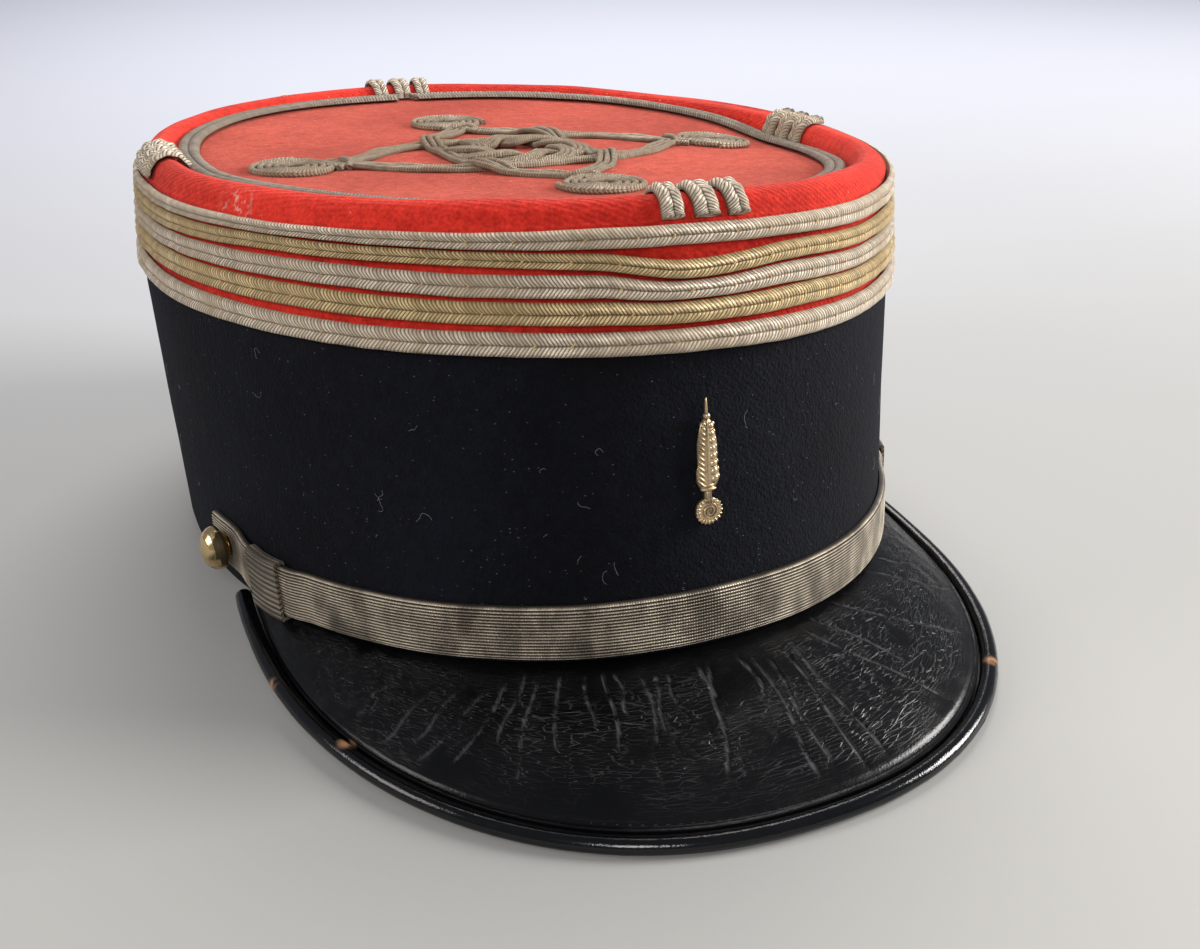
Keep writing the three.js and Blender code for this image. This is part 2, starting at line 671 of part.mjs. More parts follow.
function keeper(side) {
  const stations = keeperStations().map((angle) => side * angle);
  const frame = (angle, grow) => {
    const low = strapBottom(angle) - GAP * 0.7 - grow;
    const high = strapBottom(angle) + STRAP.height + GAP * 0.7 + grow;
    const back = strapStandoff(angle) - GAP * 0.7 - grow * 0.6;
    const front = strapStandoff(angle) + STRAP.thickness + GAP * 0.7 + grow;
    return [[low, back], [high, back], [high, front], [low, front]]
      .map(([height, out]) => wallPoint(angle, height, out));
  };
  const points = stations.flatMap((angle) => [...frame(angle, KEEPER.wall), ...frame(angle, 0)]);
  const triangles = [];
  for (let i = 0; i + 1 < stations.length; i += 1) {
    bridge(triangles, indexRing(i * 8, 4), indexRing((i + 1) * 8, 4));
    bridge(triangles, indexRing((i + 1) * 8 + 4, 4), indexRing(i * 8 + 4, 4));
  }
  const last = (stations.length - 1) * 8;
  bridge(triangles, indexRing(4, 4), indexRing(0, 4));
  bridge(triangles, indexRing(last, 4), indexRing(last + 4, 4));
  return closedGeometry(points, triangles);
}

function buttonDome() {
  const profile = BUTTON_PROFILE.map(({ radius, out }) => new THREE.Vector2(radius, out));
  return new THREE.LatheGeometry(profile, 18);
}

// Rim of the peak, in plan: an angle of 0 is the tip.
function rimPoint(angle, inset) {
  const curve = (a) => {
    const turn = degToRad(a);
    return new THREE.Vector2(
      RIM.halfWidth * power(Math.sin(turn), RIM.power),
      RIM.centreY - RIM.length * power(Math.cos(turn), RIM.power),
    );
  };
  const along = curve(angle + 0.4).sub(curve(angle - 0.4)).normalize();
  const out = new THREE.Vector2(along.y, -along.x);
  return curve(angle).addScaledVector(out, -inset);
}

function rimRise(angle) {
  return BEAD.endRise * smoothStep(80, RIM.endDeg, Math.abs(angle));
}

function peakBinding() {
  const outline = Array.from({ length: BEAD.sides }, (_, i) => {
    const turn = ((i + 0.5) / BEAD.sides) * Math.PI * 2;
    const reach = 1 / Math.cos(Math.PI / BEAD.sides);
    return [(BEAD.width / 2) * reach * Math.cos(turn), (BEAD.height / 2) * reach * Math.sin(turn)];
  });
  const section = (angle) => outline.map(([side, up]) => {
    const plan = rimPoint(angle, BEAD.width / 2 - side);
    return new THREE.Vector3(plan.x, plan.y + ORIGIN_FORWARD, BEAD.height / 2 + rimRise(angle) + up);
  });
  return stripSolid(spread(-RIM.endDeg, RIM.endDeg, BEAD.steps), section, outline);
}

function peakLeather() {
  const surface = (u, v, drop) => {
    const side = mix(-1, 1, u);
    const wallAngle = side * PEAK.endAngle;
    const rimAngle = side * (RIM.endDeg - 1);
    const inner = wallPoint(wallAngle, lowerEdge(wallAngle) - GAP, -PEAK.tuck);
    const rim = rimPoint(rimAngle, BEAD.width + GAP);
    const rimHeight = BEAD.height / 2 + PEAK.thickness / 2 + rimRise(rimAngle);
    const outer = new THREE.Vector3(rim.x, rim.y + ORIGIN_FORWARD, rimHeight);
    const width = Math.hypot(outer.x - inner.x, outer.y - inner.y);
    const point = inner.clone().lerp(outer, v);
    point.z += PEAK.camber * 4 * v * (1 - v) * Math.min(1, width / 40) - drop;
    return point;
  };
  return slabSolid(
    PEAK.steps,
    PEAK.rows,
    (u, v) => surface(u, v, 0),
    (u, v) => surface(u, v, PEAK.thickness),
  );
}

// Assembly

const cap = new THREE.Group();
cap.name = 'kepi_cap';

function addPiece(name, geometry, finish) {
  const material = new THREE.MeshStandardMaterial({ name, ...COLOURS[finish] });
  const mesh = new THREE.Mesh(geometry, material);
  mesh.name = name;
  cap.add(mesh);
  return mesh;
}

addPiece('band_wall', bandWall(), 'navy');
addPiece('crown', crownShell(), 'red');
GALON_METALS.forEach((metal, row) => addPiece(`galon_${row + 1}`, galon(row), metal));
addPiece('top_edge_braid', topEdgeBraid(), 'silver');
addPiece('crown_knot', crownKnot(), 'silver');
for (const set of LOOP_SETS) {
  loopAngles(set.angle).forEach((angle, i) => {
    addPiece(`${set.name}_loop_${i + 1}`, rollLoop(angle), 'silver');
  });
}
addPiece('badge', badge(), 'castMetal');
addPiece('chin_strap', chinStrap(), 'oldBraid');
for (const [name, side] of [['left', -1], ['right', 1]]) {
  addPiece(`${name}_keeper`, keeper(side), 'keeper');
  const angle = side * BUTTON.angle;
  const seat = strapStandoff(angle) + STRAP.thickness + GAP;
  const foot = wallPoint(angle, BUTTON.height, seat);
  const axis = wallPoint(angle, BUTTON.height, seat + 1).sub(foot).normalize();
  const button = addPiece(`${name}_button`, buttonDome(), 'brass');
  button.position.copy(foot);
  button.quaternion.setFromUnitVectors(new THREE.Vector3(0, 1, 0), axis);
}
addPiece('peak', peakLeather(), 'leather');
addPiece('peak_binding', peakBinding(), 'bead');

export default cap;
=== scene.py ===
"""Looks of the kepi cap: every piece of cloth, braid, leather and metal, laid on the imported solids."""

import logging
import math
from dataclasses import dataclass, field
from enum import Enum
from typing import Callable, Sequence

import bpy
import numpy as np
from mathutils import Matrix, Vector


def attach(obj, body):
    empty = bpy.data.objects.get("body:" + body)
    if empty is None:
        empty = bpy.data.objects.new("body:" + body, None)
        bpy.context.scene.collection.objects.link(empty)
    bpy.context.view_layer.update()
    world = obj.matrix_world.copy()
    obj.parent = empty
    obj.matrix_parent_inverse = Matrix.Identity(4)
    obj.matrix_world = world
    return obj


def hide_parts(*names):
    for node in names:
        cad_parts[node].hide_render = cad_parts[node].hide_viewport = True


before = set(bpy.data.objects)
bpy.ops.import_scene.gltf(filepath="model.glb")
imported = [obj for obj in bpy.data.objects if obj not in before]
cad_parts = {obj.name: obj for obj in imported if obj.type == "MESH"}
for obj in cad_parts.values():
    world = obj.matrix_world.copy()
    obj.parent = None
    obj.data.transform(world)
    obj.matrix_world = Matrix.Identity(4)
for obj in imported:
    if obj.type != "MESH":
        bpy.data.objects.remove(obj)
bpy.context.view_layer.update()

LOG = logging.getLogger("kepi_cap")
MM = 0.001
GAP = 0.3
FRONT_SHARE = 0.9

Array = np.ndarray
Surface = Callable[[Array, Array], Array]


# Shape of the cap, in millimetres


def power(value: Array, exponent: float) -> Array:
    """Returns the signed power that squares an oval off."""
    return np.sign(value) * np.abs(value) ** (2 / exponent)


def smooth_step(start: float, end: float, value: Array) -> Array:
    """Returns a smooth ramp from 0 at start to 1 at end."""
    share = np.clip((value - start) / (end - start), 0, 1)
    return share * share * (3 - 2 * share)


def ripple(x: Array, y: Array, seed: int, scale: float, octaves: int = 3) -> Array:
    """Smooth unevenness over a surface.

    Args:
        x: First coordinate, in millimetres.
        y: Second coordinate, in millimetres.
        seed: Number that picks the pattern.
        scale: Length of the longest wave, in millimetres.
        octaves: How many finer layers are added.

    Returns:
        Heights from about -1 to 1.
    """
    rng = np.random.default_rng(seed)
    total = np.zeros(np.broadcast(x, y).shape)
    weight = 0.0
    for octave in range(octaves):
        size = scale / 2**octave
        share = 0.6**octave
        for _ in range(5):
            turn = rng.uniform(0, 2 * np.pi)
            length = size * rng.uniform(0.7, 1.4)
            phase = rng.uniform(0, 2 * np.pi)
            wave = (x * np.cos(turn) + y * np.sin(turn)) * 2 * np.pi / length
            total = total + share * np.sin(wave + phase)
        weight += share * 2.5
    return total / weight


def round_the_ring(rows: Sequence[float], values: Sequence[float], angle: Array) -> Array:
    """Reads a table column smoothly at any angle round the cap.

    Args:
        rows: Angles of the table rows, in degrees.
        values: The column's value in each row.
        angle: Angles to read it at.

    Returns:
        The smooth values.
    """
    rows_, values_ = np.asarray(rows, float), np.asarray(values, float)
    knots = np.concatenate([rows_[-2:] - 360, rows_, rows_[:3] + 360])
    levels = np.concatenate([values_[-2:], values_, values_[:3]])
    turned = np.mod(np.asarray(angle, float) - rows_[0], 360) + rows_[0]
    k = np.clip(np.searchsorted(knots, turned, side="right") - 1, 1, len(knots) - 3)
    width = knots[k + 1] - knots[k]
    leave = (levels[k + 1] - levels[k - 1]) / (knots[k + 1] - knots[k - 1]) * width
    arrive = (levels[k + 2] - levels[k]) / (knots[k + 2] - knots[k]) * width
    s = (turned - knots[k]) / width
    s2, s3 = s * s, s * s * s
    return (
        (2 * s3 - 3 * s2 + 1) * levels[k]
        + (s3 - 2 * s2 + s) * leave
        + (3 * s2 - 2 * s3) * levels[k + 1]
        + (s3 - s2) * arrive
    )


GALON_ANGLES = (-90, -54, -30, -15, -3, 12, 30, 90, 180)
GALON_FOOT = (85.3, 87.4, 88.9, 89.5, 89.3, 88.3, 87.2, 85.7, 85.5)
GALON_BOTTOMS = (
    (82.2, 84.7, 85.5, 85.4, 85.1, 84.1, 82.4, 81.4, 81.2),
    (78.3, 81.6, 82.4, 81.6, 79.0, 79.5, 77.9, 77.1, 77.0),
    (74.1, 76.4, 76.8, 76.5, 75.1, 74.9, 73.6, 72.7, 72.7),
    (69.4, 71.2, 71.8, 71.5, 70.6, 70.0, 68.9, 68.0, 68.3),
    (63.3, 65.1, 65.9, 65.6, 65.1, 64.0, 63.1, 62.7, 63.3),
)
GALON_TOPS = (
    (85.1, 87.2, 88.7, 89.3, 89.1, 88.1, 87.0, 85.5, 85.3),
    (81.9, 84.4, 85.2, 84.8, 82.6, 83.2, 81.7, 81.1, 80.9),
    (77.9, 80.7, 81.2, 80.9, 78.6, 79.1, 77.5, 76.7, 76.6),
    (73.8, 75.7, 76.2, 76.0, 74.8, 74.6, 73.3, 72.3, 72.3),
    (68.2, 69.8, 70.7, 70.4, 69.9, 69.1, 67.9, 67.2, 67.5),
)
EDGE_ANGLES = (-90, -60, -30, 0, 45, 91, 112, 150, 180, 225)
EDGE_INSETS = (7.6, 8.5, 9.6, 10.5, 8.4, 6.6, 7.1, 8.5, 9.2, 8.2)
EDGE_HEIGHTS = (1.7, 4.2, 5.2, 4.6, 0.6, -4.6, -2.4, 0.1, 1.2, 2.2)
ROLL_PROFILE = (
    (0.0, 0.0),
    (0.05, 0.12),
    (0.08, 0.28),
    (0.15, 0.6),
    (0.28, 0.87),
    (0.5, 1.0),
    (0.74, 0.86),
    (0.92, 0.5),
    (0.99, 0.16),
    (1.0, 0.0),
)
# Creases of the peak, from their end at the band to their end at the rim, as shares of its width and depth.
PEAK_CREASES = (
    (0.187, 0.535, 0.171, 0.802), (0.192, 0.403, 0.18, 0.585), (0.239, 0.3, 0.193, 0.895),
    (0.262, 0.28, 0.21, 0.928), (0.289, 0.247, 0.223, 0.911), (0.308, 0.158, 0.257, 0.84),
    (0.323, 0.096, 0.292, 0.645), (0.333, 0.093, 0.304, 0.857), (0.352, 0.093, 0.34, 0.652),
    (0.376, 0.116, 0.373, 0.499), (0.394, 0.089, 0.39, 0.64), (0.404, 0.113, 0.404, 0.418),
    (0.426, 0.149, 0.421, 0.599), (0.436, 0.141, 0.429, 0.551), (0.446, 0.153, 0.448, 0.498),
    (0.487, 0.125, 0.459, 0.817), (0.479, 0.146, 0.476, 0.372), (0.513, 0.145, 0.511, 0.447),
    (0.523, 0.166, 0.513, 0.927), (0.533, 0.189, 0.523, 0.888), (0.551, 0.155, 0.548, 0.966),
    (0.562, 0.142, 0.566, 0.937), (0.585, 0.078, 0.664, 0.963), (0.605, 0.047, 0.664, 0.673),
    (0.644, 0.026, 0.762, 0.938), (0.736, 0.066, 0.837, 0.98), (0.773, 0.095, 0.812, 0.432),
)


@dataclass(frozen=True)
class CapShape:
    """The surfaces that the pieces lie on, in the cap's own frame and then as it rests."""

    tilt: float = math.radians(3.2)
    origin_forward: float = 15.0
    oval_power: float = 2.14
    heights: tuple[float, ...] = (0.0, 58.0, 84.6)
    half_lengths: tuple[float, ...] = (100.1, 101.6, 99.8)
    half_widths: tuple[float, ...] = (83.5, 85.9, 83.6)
    eggs: tuple[float, ...] = (0.083, 0.09, 0.09)
    shifts: tuple[float, ...] = (0.0, -5.6, -5.1)
    arch: float = 4.5
    wall: float = 2.4

    def place(self, x: Array, y: Array, z: Array) -> Array:
        """Turns points of the cap's own frame into the resting frame."""
        forward = y * math.cos(self.tilt) - z * math.sin(self.tilt)
        up = y * math.sin(self.tilt) + z * math.cos(self.tilt)
        lift = self.half_lengths[0] * math.sin(self.tilt)
        return np.stack(np.broadcast_arrays(x, self.origin_forward - forward, up + lift), -1)

    def oval(self, angle: Array, height: Array) -> tuple[Array, Array]:
        """Returns x and y of the wall's outline at a height."""
        level = np.clip(height, 0, self.heights[2])
        turn = np.radians(angle)
        half_width = np.interp(level, self.heights, self.half_widths)
        half_length = np.interp(level, self.heights, self.half_lengths)
        egg = np.interp(level, self.heights, self.eggs)
        shift = np.interp(level, self.heights, self.shifts)
        x = half_width * power(np.sin(turn), self.oval_power) * (1 - egg * np.cos(turn))
        return x, shift + half_length * power(np.cos(turn), self.oval_power)

    def wall_point(self, angle: Array, height: Array, out: Array) -> Array:
        """Returns points of the wall, moved out square to its plan."""
        x, y = self.oval(angle, height)
        xa, ya = self.oval(angle + 0.4, height)
        xb, yb = self.oval(angle - 0.4, height)
        dx, dy = xa - xb, ya - yb
        size = np.hypot(dx, dy)
        return self.place(x - dy / size * out, y + dx / size * out, height)

    def lower_edge(self, angle: Array) -> Array:
        """Returns the height of the band's lower edge, which arches over the peak."""
        return self.arch * np.maximum(0, np.cos(np.radians(angle))) ** 2

    def galon_edges(self, row: int, angle: Array) -> tuple[Array, Array]:
        """Returns the heights of a galon's two edges."""
        bottom = round_the_ring(GALON_ANGLES, GALON_BOTTOMS[row], angle)
        return bottom, round_the_ring(GALON_ANGLES, GALON_TOPS[row], angle)

    def cloth_seam(self, angle: Array) -> Array:
        """Returns the height at which the navy stops and the red starts."""
        bottom, top = self.galon_edges(4, angle)
        return (bottom + top) / 2

    def crown_oval(self, angle: Array, inset: Array) -> tuple[Array, Array]:
        """Returns x and y of the crown's plan, moved in by an inset."""
        turn = np.radians(angle)
        x = (self.half_widths[2] - inset) * power(np.sin(turn), self.oval_power)
        y = (self.half_lengths[2] - inset) * power(np.cos(turn), self.oval_power)
        return x * (1 - self.eggs[2] * np.cos(turn)), self.shifts[2] + y

    def crest_height(self, x: Array, y: Array) -> Array:
        """Returns the height of the roll's crest."""
        bowed = 1.94 * ((y / self.half_lengths[2]) ** 2 - (x / self.half_widths[2]) ** 2)
        return self.heights[2] + 5.1 + 0.023 * y - 0.025 * x + bowed

    def sunken_inset(self, angle: Array) -> Array:
        """Returns how far the sunken top's edge lies inside the wall."""
        return round_the_ring(EDGE_ANGLES, EDGE_INSETS, angle)

    def sunken_height(self, x: Array, y: Array) -> Array:
        """Returns the height of the sunken top, flat in the middle and bent to its edge."""
        side = x / self.half_widths[2]
        forward = (y - self.shifts[2]) / self.half_lengths[2]
        reach = np.minimum(1, np.hypot(side, forward) / 0.89)
        angle = np.degrees(np.arctan2(side, forward))
        middle = 0.1 - 0.003 * y - 0.025 * x
        edge = round_the_ring(EDGE_ANGLES, EDGE_HEIGHTS, angle)
        return self.heights[2] + middle + (edge - middle) * reach**4

    def roll_point(self, angle: Array, step: Array) -> Array:
        """Points of the roll.

        Args:
            angle: Angle round the cap, in degrees.
            step: From 0 at the roll's outer foot to 1 at the sunken top.

        Returns:
            Points in the cap's own frame.
        """
        table = np.array(ROLL_PROFILE)
        knots = np.linspace(0, 1, len(table))
        fine = np.linspace(0, 1, 121)
        kernel = np.array([1, 2, 3, 2, 1]) / 9
        across_line = np.interp(fine, knots, table[:, 0])
        rise_line = np.interp(fine, knots, table[:, 1])
        for _ in range(3):
            across_line[2:-2] = np.convolve(across_line, kernel, "valid")
            rise_line[2:-2] = np.convolve(rise_line, kernel, "valid")
        across = np.interp(step, fine, across_line)
        rise = np.interp(step, fine, rise_line)
        crest = np.minimum(4.8, self.sunken_inset(angle) * 0.53)
        inner = crest + (self.sunken_inset(angle) - crest) * (across * 2 - 1)
        inset = np.where(across < 0.5, crest * across * 2, inner)
        x, y = self.crown_oval(angle, inset)
        outer_foot = round_the_ring(GALON_ANGLES, GALON_FOOT, angle)
        foot = np.where(across < 0.5, outer_foot, self.sunken_height(x, y))
        return np.stack([x, y, foot + (self.crest_height(x, y) - foot) * rise], -1)

    def top_point(self, x: Array, y: Array, lift: Array) -> Array:
        """Returns points over the sunken top, in the resting frame."""
        return self.place(x, y, self.sunken_height(x, y) + GAP + lift)

    def rim_point(self, angle: Array, inset: Array) -> tuple[Array, Array]:
        """Returns x and y of the peak's rim in the resting frame, moved in by an inset."""

        def curve(a: Array) -> tuple[Array, Array]:
            turn = np.radians(a)
            return 82.5 * power(np.sin(turn), 2.22), -40.9 - 101.2 * power(np.cos(turn), 2.22)

        x, y = curve(angle)
        xa, ya = curve(angle + 0.4)
        xb, yb = curve(angle - 0.4)
        dx, dy = xa - xb, ya - yb
        size = np.hypot(dx, dy)
        return x - dy / size * inset, y + dx / size * inset + self.origin_forward

    def rim_rise(self, angle: Array) -> Array:
        """Returns how far the rim lifts off the surface near its ends."""
        return 1.4 * smooth_step(80, 99.5, np.abs(angle))


SHAPE = CapShape()


# Modelling helpers


def deselect_all() -> None:
    """Leaves object mode with nothing selected."""
    if bpy.context.object and bpy.context.object.mode != "OBJECT":
        bpy.ops.object.mode_set(mode="OBJECT")
    bpy.ops.object.select_all(action="DESELECT")


def make_active(piece: bpy.types.Object) -> None:
    """Selects one piece alone."""
    deselect_all()
    piece.select_set(True)
    bpy.context.view_layer.objects.active = piece


def laid_grid(
    name: str,
    along: int,
    across: int,
    surface: Surface,
    length: float = 1.0,
    fill: bool = False,
) -> bpy.types.Object:
    """Lays a flat grid on a surface, welds where it meets itself and closes its ends.

    Args:
        name: Name of the piece.
        along: Faces along the grid.
        across: Faces across the grid.
        surface: Gives points in millimetres for shares along and across.
        length: Length of the piece, which its UV map runs to, in millimetres.
        fill: Whether open ends are closed.

    Returns:
        The piece, with its place in its mesh.
    """
    deselect_all()
    bpy.ops.mesh.primitive_grid_add(x_subdivisions=along, y_subdivisions=across, size=1.0)
    piece = bpy.context.active_object
    piece.name = name
    piece.data.name = name
    flat = np.empty(len(piece.data.vertices) * 3)
    piece.data.vertices.foreach_get("co", flat)
    flat = flat.reshape(-1, 3)
    points = surface(flat[:, 0] + 0.5, flat[:, 1] + 0.5) * MM
    piece.data.vertices.foreach_set("co", points.ravel())
    uv = np.empty(len(piece.data.loops) * 2)
    layer = piece.data.uv_layers[0].data
    layer.foreach_get("uv", uv)
    uv[0::2] *= length
    layer.foreach_set("uv", uv)
    piece.data.update()
    bpy.ops.object.mode_set(mode="EDIT")
    bpy.ops.mesh.select_all(action="SELECT")
    bpy.ops.mesh.remove_doubles(threshold=4e-6)
    if fill:
        bpy.ops.mesh.fill_holes(sides=0)
    bpy.ops.mesh.select_all(action="SELECT")
    bpy.ops.mesh.normals_make_consistent(inside=False)
    bpy.ops.object.mode_set(mode="OBJECT")
    bpy.ops.object.shade_smooth_by_angle(angle=math.radians(50))
    return piece


def tube(name: str, path: Array, radius: float, sides: int = 8, flat: float = 1.0) -> bpy.types.Object:
    """Sweeps a round cord along a path that lies mostly level.

    Args:
        name: Name of the piece.
        path: Points in millimetres.
        radius: Radius of the cord, in millimetres.
        sides: Faces round the cord.
        flat: Height of the cord as a share of its width.

    Returns:
        The cord, closed at its ends.
    """
    steps = len(path) - 1
    lengths = np.concatenate([[0], np.cumsum(np.linalg.norm(np.diff(path, axis=0), axis=1))])
    tangent = np.gradient(path, axis=0)
    tangent /= np.linalg.norm(tangent, axis=1)[:, None] + 1e-12
    side = np.cross(tangent, np.array([0.0, 0.0, 1.0]))
    side /= np.linalg.norm(side, axis=1)[:, None] + 1e-12
    rise = np.cross(side, tangent)

    def surface(u: Array, v: Array) -> Array:
        """Returns the cord's skin."""
        at = np.rint(u * steps).astype(int)
        turn = v * 2 * np.pi
        return (
            path[at]
            + side[at] * (np.cos(turn) * radius)[:, None]
            + rise[at] * (np.sin(turn) * radius * flat)[:, None]
        )

    return laid_grid(name, steps, sides, surface, float(lengths[-1]), fill=True)


def joined(name: str, pieces: Sequence[bpy.types.Object]) -> bpy.types.Object:
    """Joins pieces into one object of that name."""
    deselect_all()
    for piece in pieces:
        piece.select_set(True)
    bpy.context.view_layer.objects.active = pieces[0]
    bpy.ops.object.join()
    whole = bpy.context.active_object
    whole.name = name
    whole.data.name = name
    return whole


def moved(piece: bpy.types.Object, move: Callable[[Array], Array]) -> bpy.types.Object:
    """Moves every vertex of a piece, in millimetres, and points its faces outwards."""
    flat = np.empty(len(piece.data.vertices) * 3)
    piece.data.vertices.foreach_get("co", flat)
    piece.data.vertices.foreach_set("co", (move(flat.reshape(-1, 3) / MM) * MM).ravel())
    piece.data.update()
    make_active(piece)
    bpy.ops.object.mode_set(mode="EDIT")
    bpy.ops.mesh.select_all(action="SELECT")
    bpy.ops.mesh.normals_make_consistent(inside=False)
    bpy.ops.object.mode_set(mode="OBJECT")
    return piece


def placed(piece: bpy.types.Object) -> bpy.types.Object:
    """Puts a new primitive's place into its mesh."""
    make_active(piece)
    bpy.ops.object.transform_apply(location=True, rotation=True, scale=True)
    return piece


def bead(centre: Sequence[float], size: Sequence[float], turn: float = 0.0) -> bpy.types.Object:
    """Adds a small rounded lump, flat in millimetres, turned in its own plane."""
    deselect_all()
    bpy.ops.mesh.primitive_ico_sphere_add(subdivisions=2, radius=MM)
    lump = bpy.context.active_object
    lump.scale = Vector(size)
    lump.rotation_euler = (0, 0, turn)
    lump.location = Vector(centre) * MM
    bpy.ops.object.shade_smooth()
    return placed(lump)


def finish_piece(piece: bpy.types.Object, finish: "Finish", slot: str, *nodes: str) -> bpy.types.Object:
    """Dresses a piece and lets it stand for its CAD nodes.

    Args:
        piece: The finished mesh.
        finish: The finish that it takes.
        slot: Name of the record's material slot; not used.
        nodes: CAD nodes that it stands for.

    Returns:
        The same piece.
    """
    piece.data.materials.clear()
    piece.data.materials.append(finish.material())
    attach(piece, "root")
    if nodes:
        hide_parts(*nodes)
    faces = sum(len(face.vertices) - 2 for face in piece.data.polygons)
    LOG.info("%s: %d triangles", piece.name, faces)
    return piece


# Shader graphs


class Graph:
    """A node tree that is written in short steps."""

    def __init__(self, tree: bpy.types.NodeTree) -> None:
        """Starts on a tree."""
        self.tree = tree

    def node(self, kind: str, **values: object) -> bpy.types.Node:
        """Adds a node and sets its properties."""
        made = self.tree.nodes.new(kind)
        for key, value in values.items():
            setattr(made, key, value)
        return made

    def feed(self, socket: bpy.types.NodeSocket, value: object) -> None:
        """Links or sets an input."""
        if isinstance(value, bpy.types.NodeSocket):
            self.tree.links.new(value, socket)
        else:
            socket.default_value = value

    def math(self, operation: str, a: object, b: object = 0.0, clamp: bool = False) -> bpy.types.NodeSocket:
        """Adds a Math node and returns its result."""
        made = self.node("ShaderNodeMath", operation=operation, use_clamp=clamp)
        self.feed(made.inputs[0], a)
        self.feed(made.inputs[1], b)
        return made.outputs[0]

    def mix(self, share: object, a: object, b: object) -> bpy.types.NodeSocket:
        """Mixes two colours."""
        made = self.node("ShaderNodeMix", data_type="RGBA")
        self.feed(made.inputs[0], share)
        self.feed(made.inputs[6], a)
        self.feed(made.inputs[7], b)
        return made.outputs[2]

    def noise(self, vector: object, scale: object, detail: float = 3.0) -> bpy.types.NodeSocket:
        """Adds a Noise texture and returns its value."""
        made = self.node("ShaderNodeTexNoise")
        self.feed(made.inputs["Vector"], vector)
        self.feed(made.inputs["Scale"], scale)
        made.inputs["Detail"].default_value = detail
        return made.outputs[0]

    def cells(self, vector: object, scale: object, feature: str = "F1") -> bpy.types.Node:
        """Adds a Voronoi texture."""
        made = self.node("ShaderNodeTexVoronoi", feature=feature)
        self.feed(made.inputs["Vector"], vector)
        self.feed(made.inputs["Scale"], scale)
        return made

    def step(self, value: object, low: float, high: float) -> bpy.types.NodeSocket:
        """Returns a smooth mask that runs from 0 at low to 1 at high."""
        made = self.node("ShaderNodeMapRange", interpolation_type="SMOOTHSTEP")
        self.feed(made.inputs[0], value)
        made.inputs[1].default_value = low
        made.inputs[2].default_value = high
        return made.outputs[0]

    def stretch(self, vector: object, scale: Sequence[float]) -> bpy.types.NodeSocket:
        """Stretches coordinates."""
        made = self.node("ShaderNodeMapping")
        self.feed(made.inputs["Vector"], vector)
        made.inputs["Scale"].default_value = scale
        return made.outputs[0]

    def coordinates(self, kind: str = "Object") -> bpy.types.NodeSocket:
        """Returns Object or UV coordinates."""
        return self.node("ShaderNodeTexCoord").outputs[kind]


def new_group(name: str, inputs: dict[str, tuple[str, object]], outputs: dict[str, str]) -> tuple:
    """Makes a shader node group.

    Args:
        name: Name of the group.
        inputs: Each input's socket type and default.
        outputs: Each output's socket type.

    Returns:
        The group, its graph, its input sockets by name and its output node.
    """
    group = bpy.data.node_groups.new(name, "ShaderNodeTree")
    for key, (kind, value) in inputs.items():
        socket = group.interface.new_socket(key, in_out="INPUT", socket_type=kind)
        socket.default_value = value
    for key, kind in outputs.items():
        group.interface.new_socket(key, in_out="OUTPUT", socket_type=kind)
    graph = Graph(group)
    entry = graph.node("NodeGroupInput")
    leave = graph.node("NodeGroupOutput")
    return group, graph, {s.name: s for s in entry.outputs if s.name}, leave


FLOAT, COLOUR = "NodeSocketFloat", "NodeSocketColor"
Rgb = tuple[float, float, float]


def rgba(colour: Rgb) -> tuple[float, float, float, float]:
    """Returns a colour with its alpha."""
    return (*colour, 1.0)


def wool_group() -> bpy.types.NodeTree:
    """Builds woollen cloth: mottled dye, a fine nap, a faint weave and specks of lint."""
    found = bpy.data.node_groups.get("woollen_nap")
    if found:
        return found
    group, g, inp, out = new_group(
        "woollen_nap",
        {
            "Deep": (COLOUR, (0, 0, 0, 1)),
            "Worn": (COLOUR, (1, 1, 1, 1)),
            "Lint": (COLOUR, (1, 1, 1, 1)),
            "Lint Amount": (FLOAT, 0.03),
            "Weave": (FLOAT, 0.3),
        },
        {"Color": COLOUR, "Height": FLOAT, "Roughness": FLOAT},
    )
    where = g.coordinates()
    broad = g.noise(where, 28.0, 4.0)
    nap = g.noise(where, 1500.0, 4.0)
    tufts = g.noise(where, 420.0, 3.0)
    shade = g.math("ADD", g.math("MULTIPLY", broad, 0.45), g.math("MULTIPLY", tufts, 0.3))
    shade = g.math("ADD", shade, g.math("MULTIPLY", nap, 0.4))
    dyed = g.mix(g.step(shade, 0.4, 0.85), inp["Deep"], inp["Worn"])
    bits = g.cells(g.stretch(where, (1.0, 1.0, 1.6)), 760.0)
    near = g.math("SUBTRACT", 1.0, g.step(bits.outputs["Distance"], 0.06, 0.2))
    pick = g.node("ShaderNodeSeparateColor")
    g.feed(pick.inputs[0], bits.outputs["Color"])
    chosen = g.math("LESS_THAN", pick.outputs[0], inp["Lint Amount"])
    flecks = g.math("MULTIPLY", near, chosen)
    flecks = g.math("MULTIPLY", flecks, g.step(tufts, 0.35, 0.6))
    g.feed(out.inputs["Color"], g.mix(flecks, dyed, inp["Lint"]))
    threads = g.node("ShaderNodeTexWave", wave_type="BANDS", bands_direction="DIAGONAL")
    g.feed(threads.inputs["Vector"], where)
    threads.inputs["Scale"].default_value = 330.0
    threads.inputs["Distortion"].default_value = 1.5
    weave = g.math("MULTIPLY", threads.outputs[1], inp["Weave"])
    height = g.math("ADD", g.math("MULTIPLY", nap, 0.7), g.math("MULTIPLY", tufts, 0.5))
    height = g.math("ADD", height, weave)
    g.feed(out.inputs["Height"], g.math("ADD", height, g.math("MULTIPLY", flecks, 0.6)))
    g.feed(out.inputs["Roughness"], g.math("ADD", 0.82, g.math("MULTIPLY", nap, 0.15)))
    return group


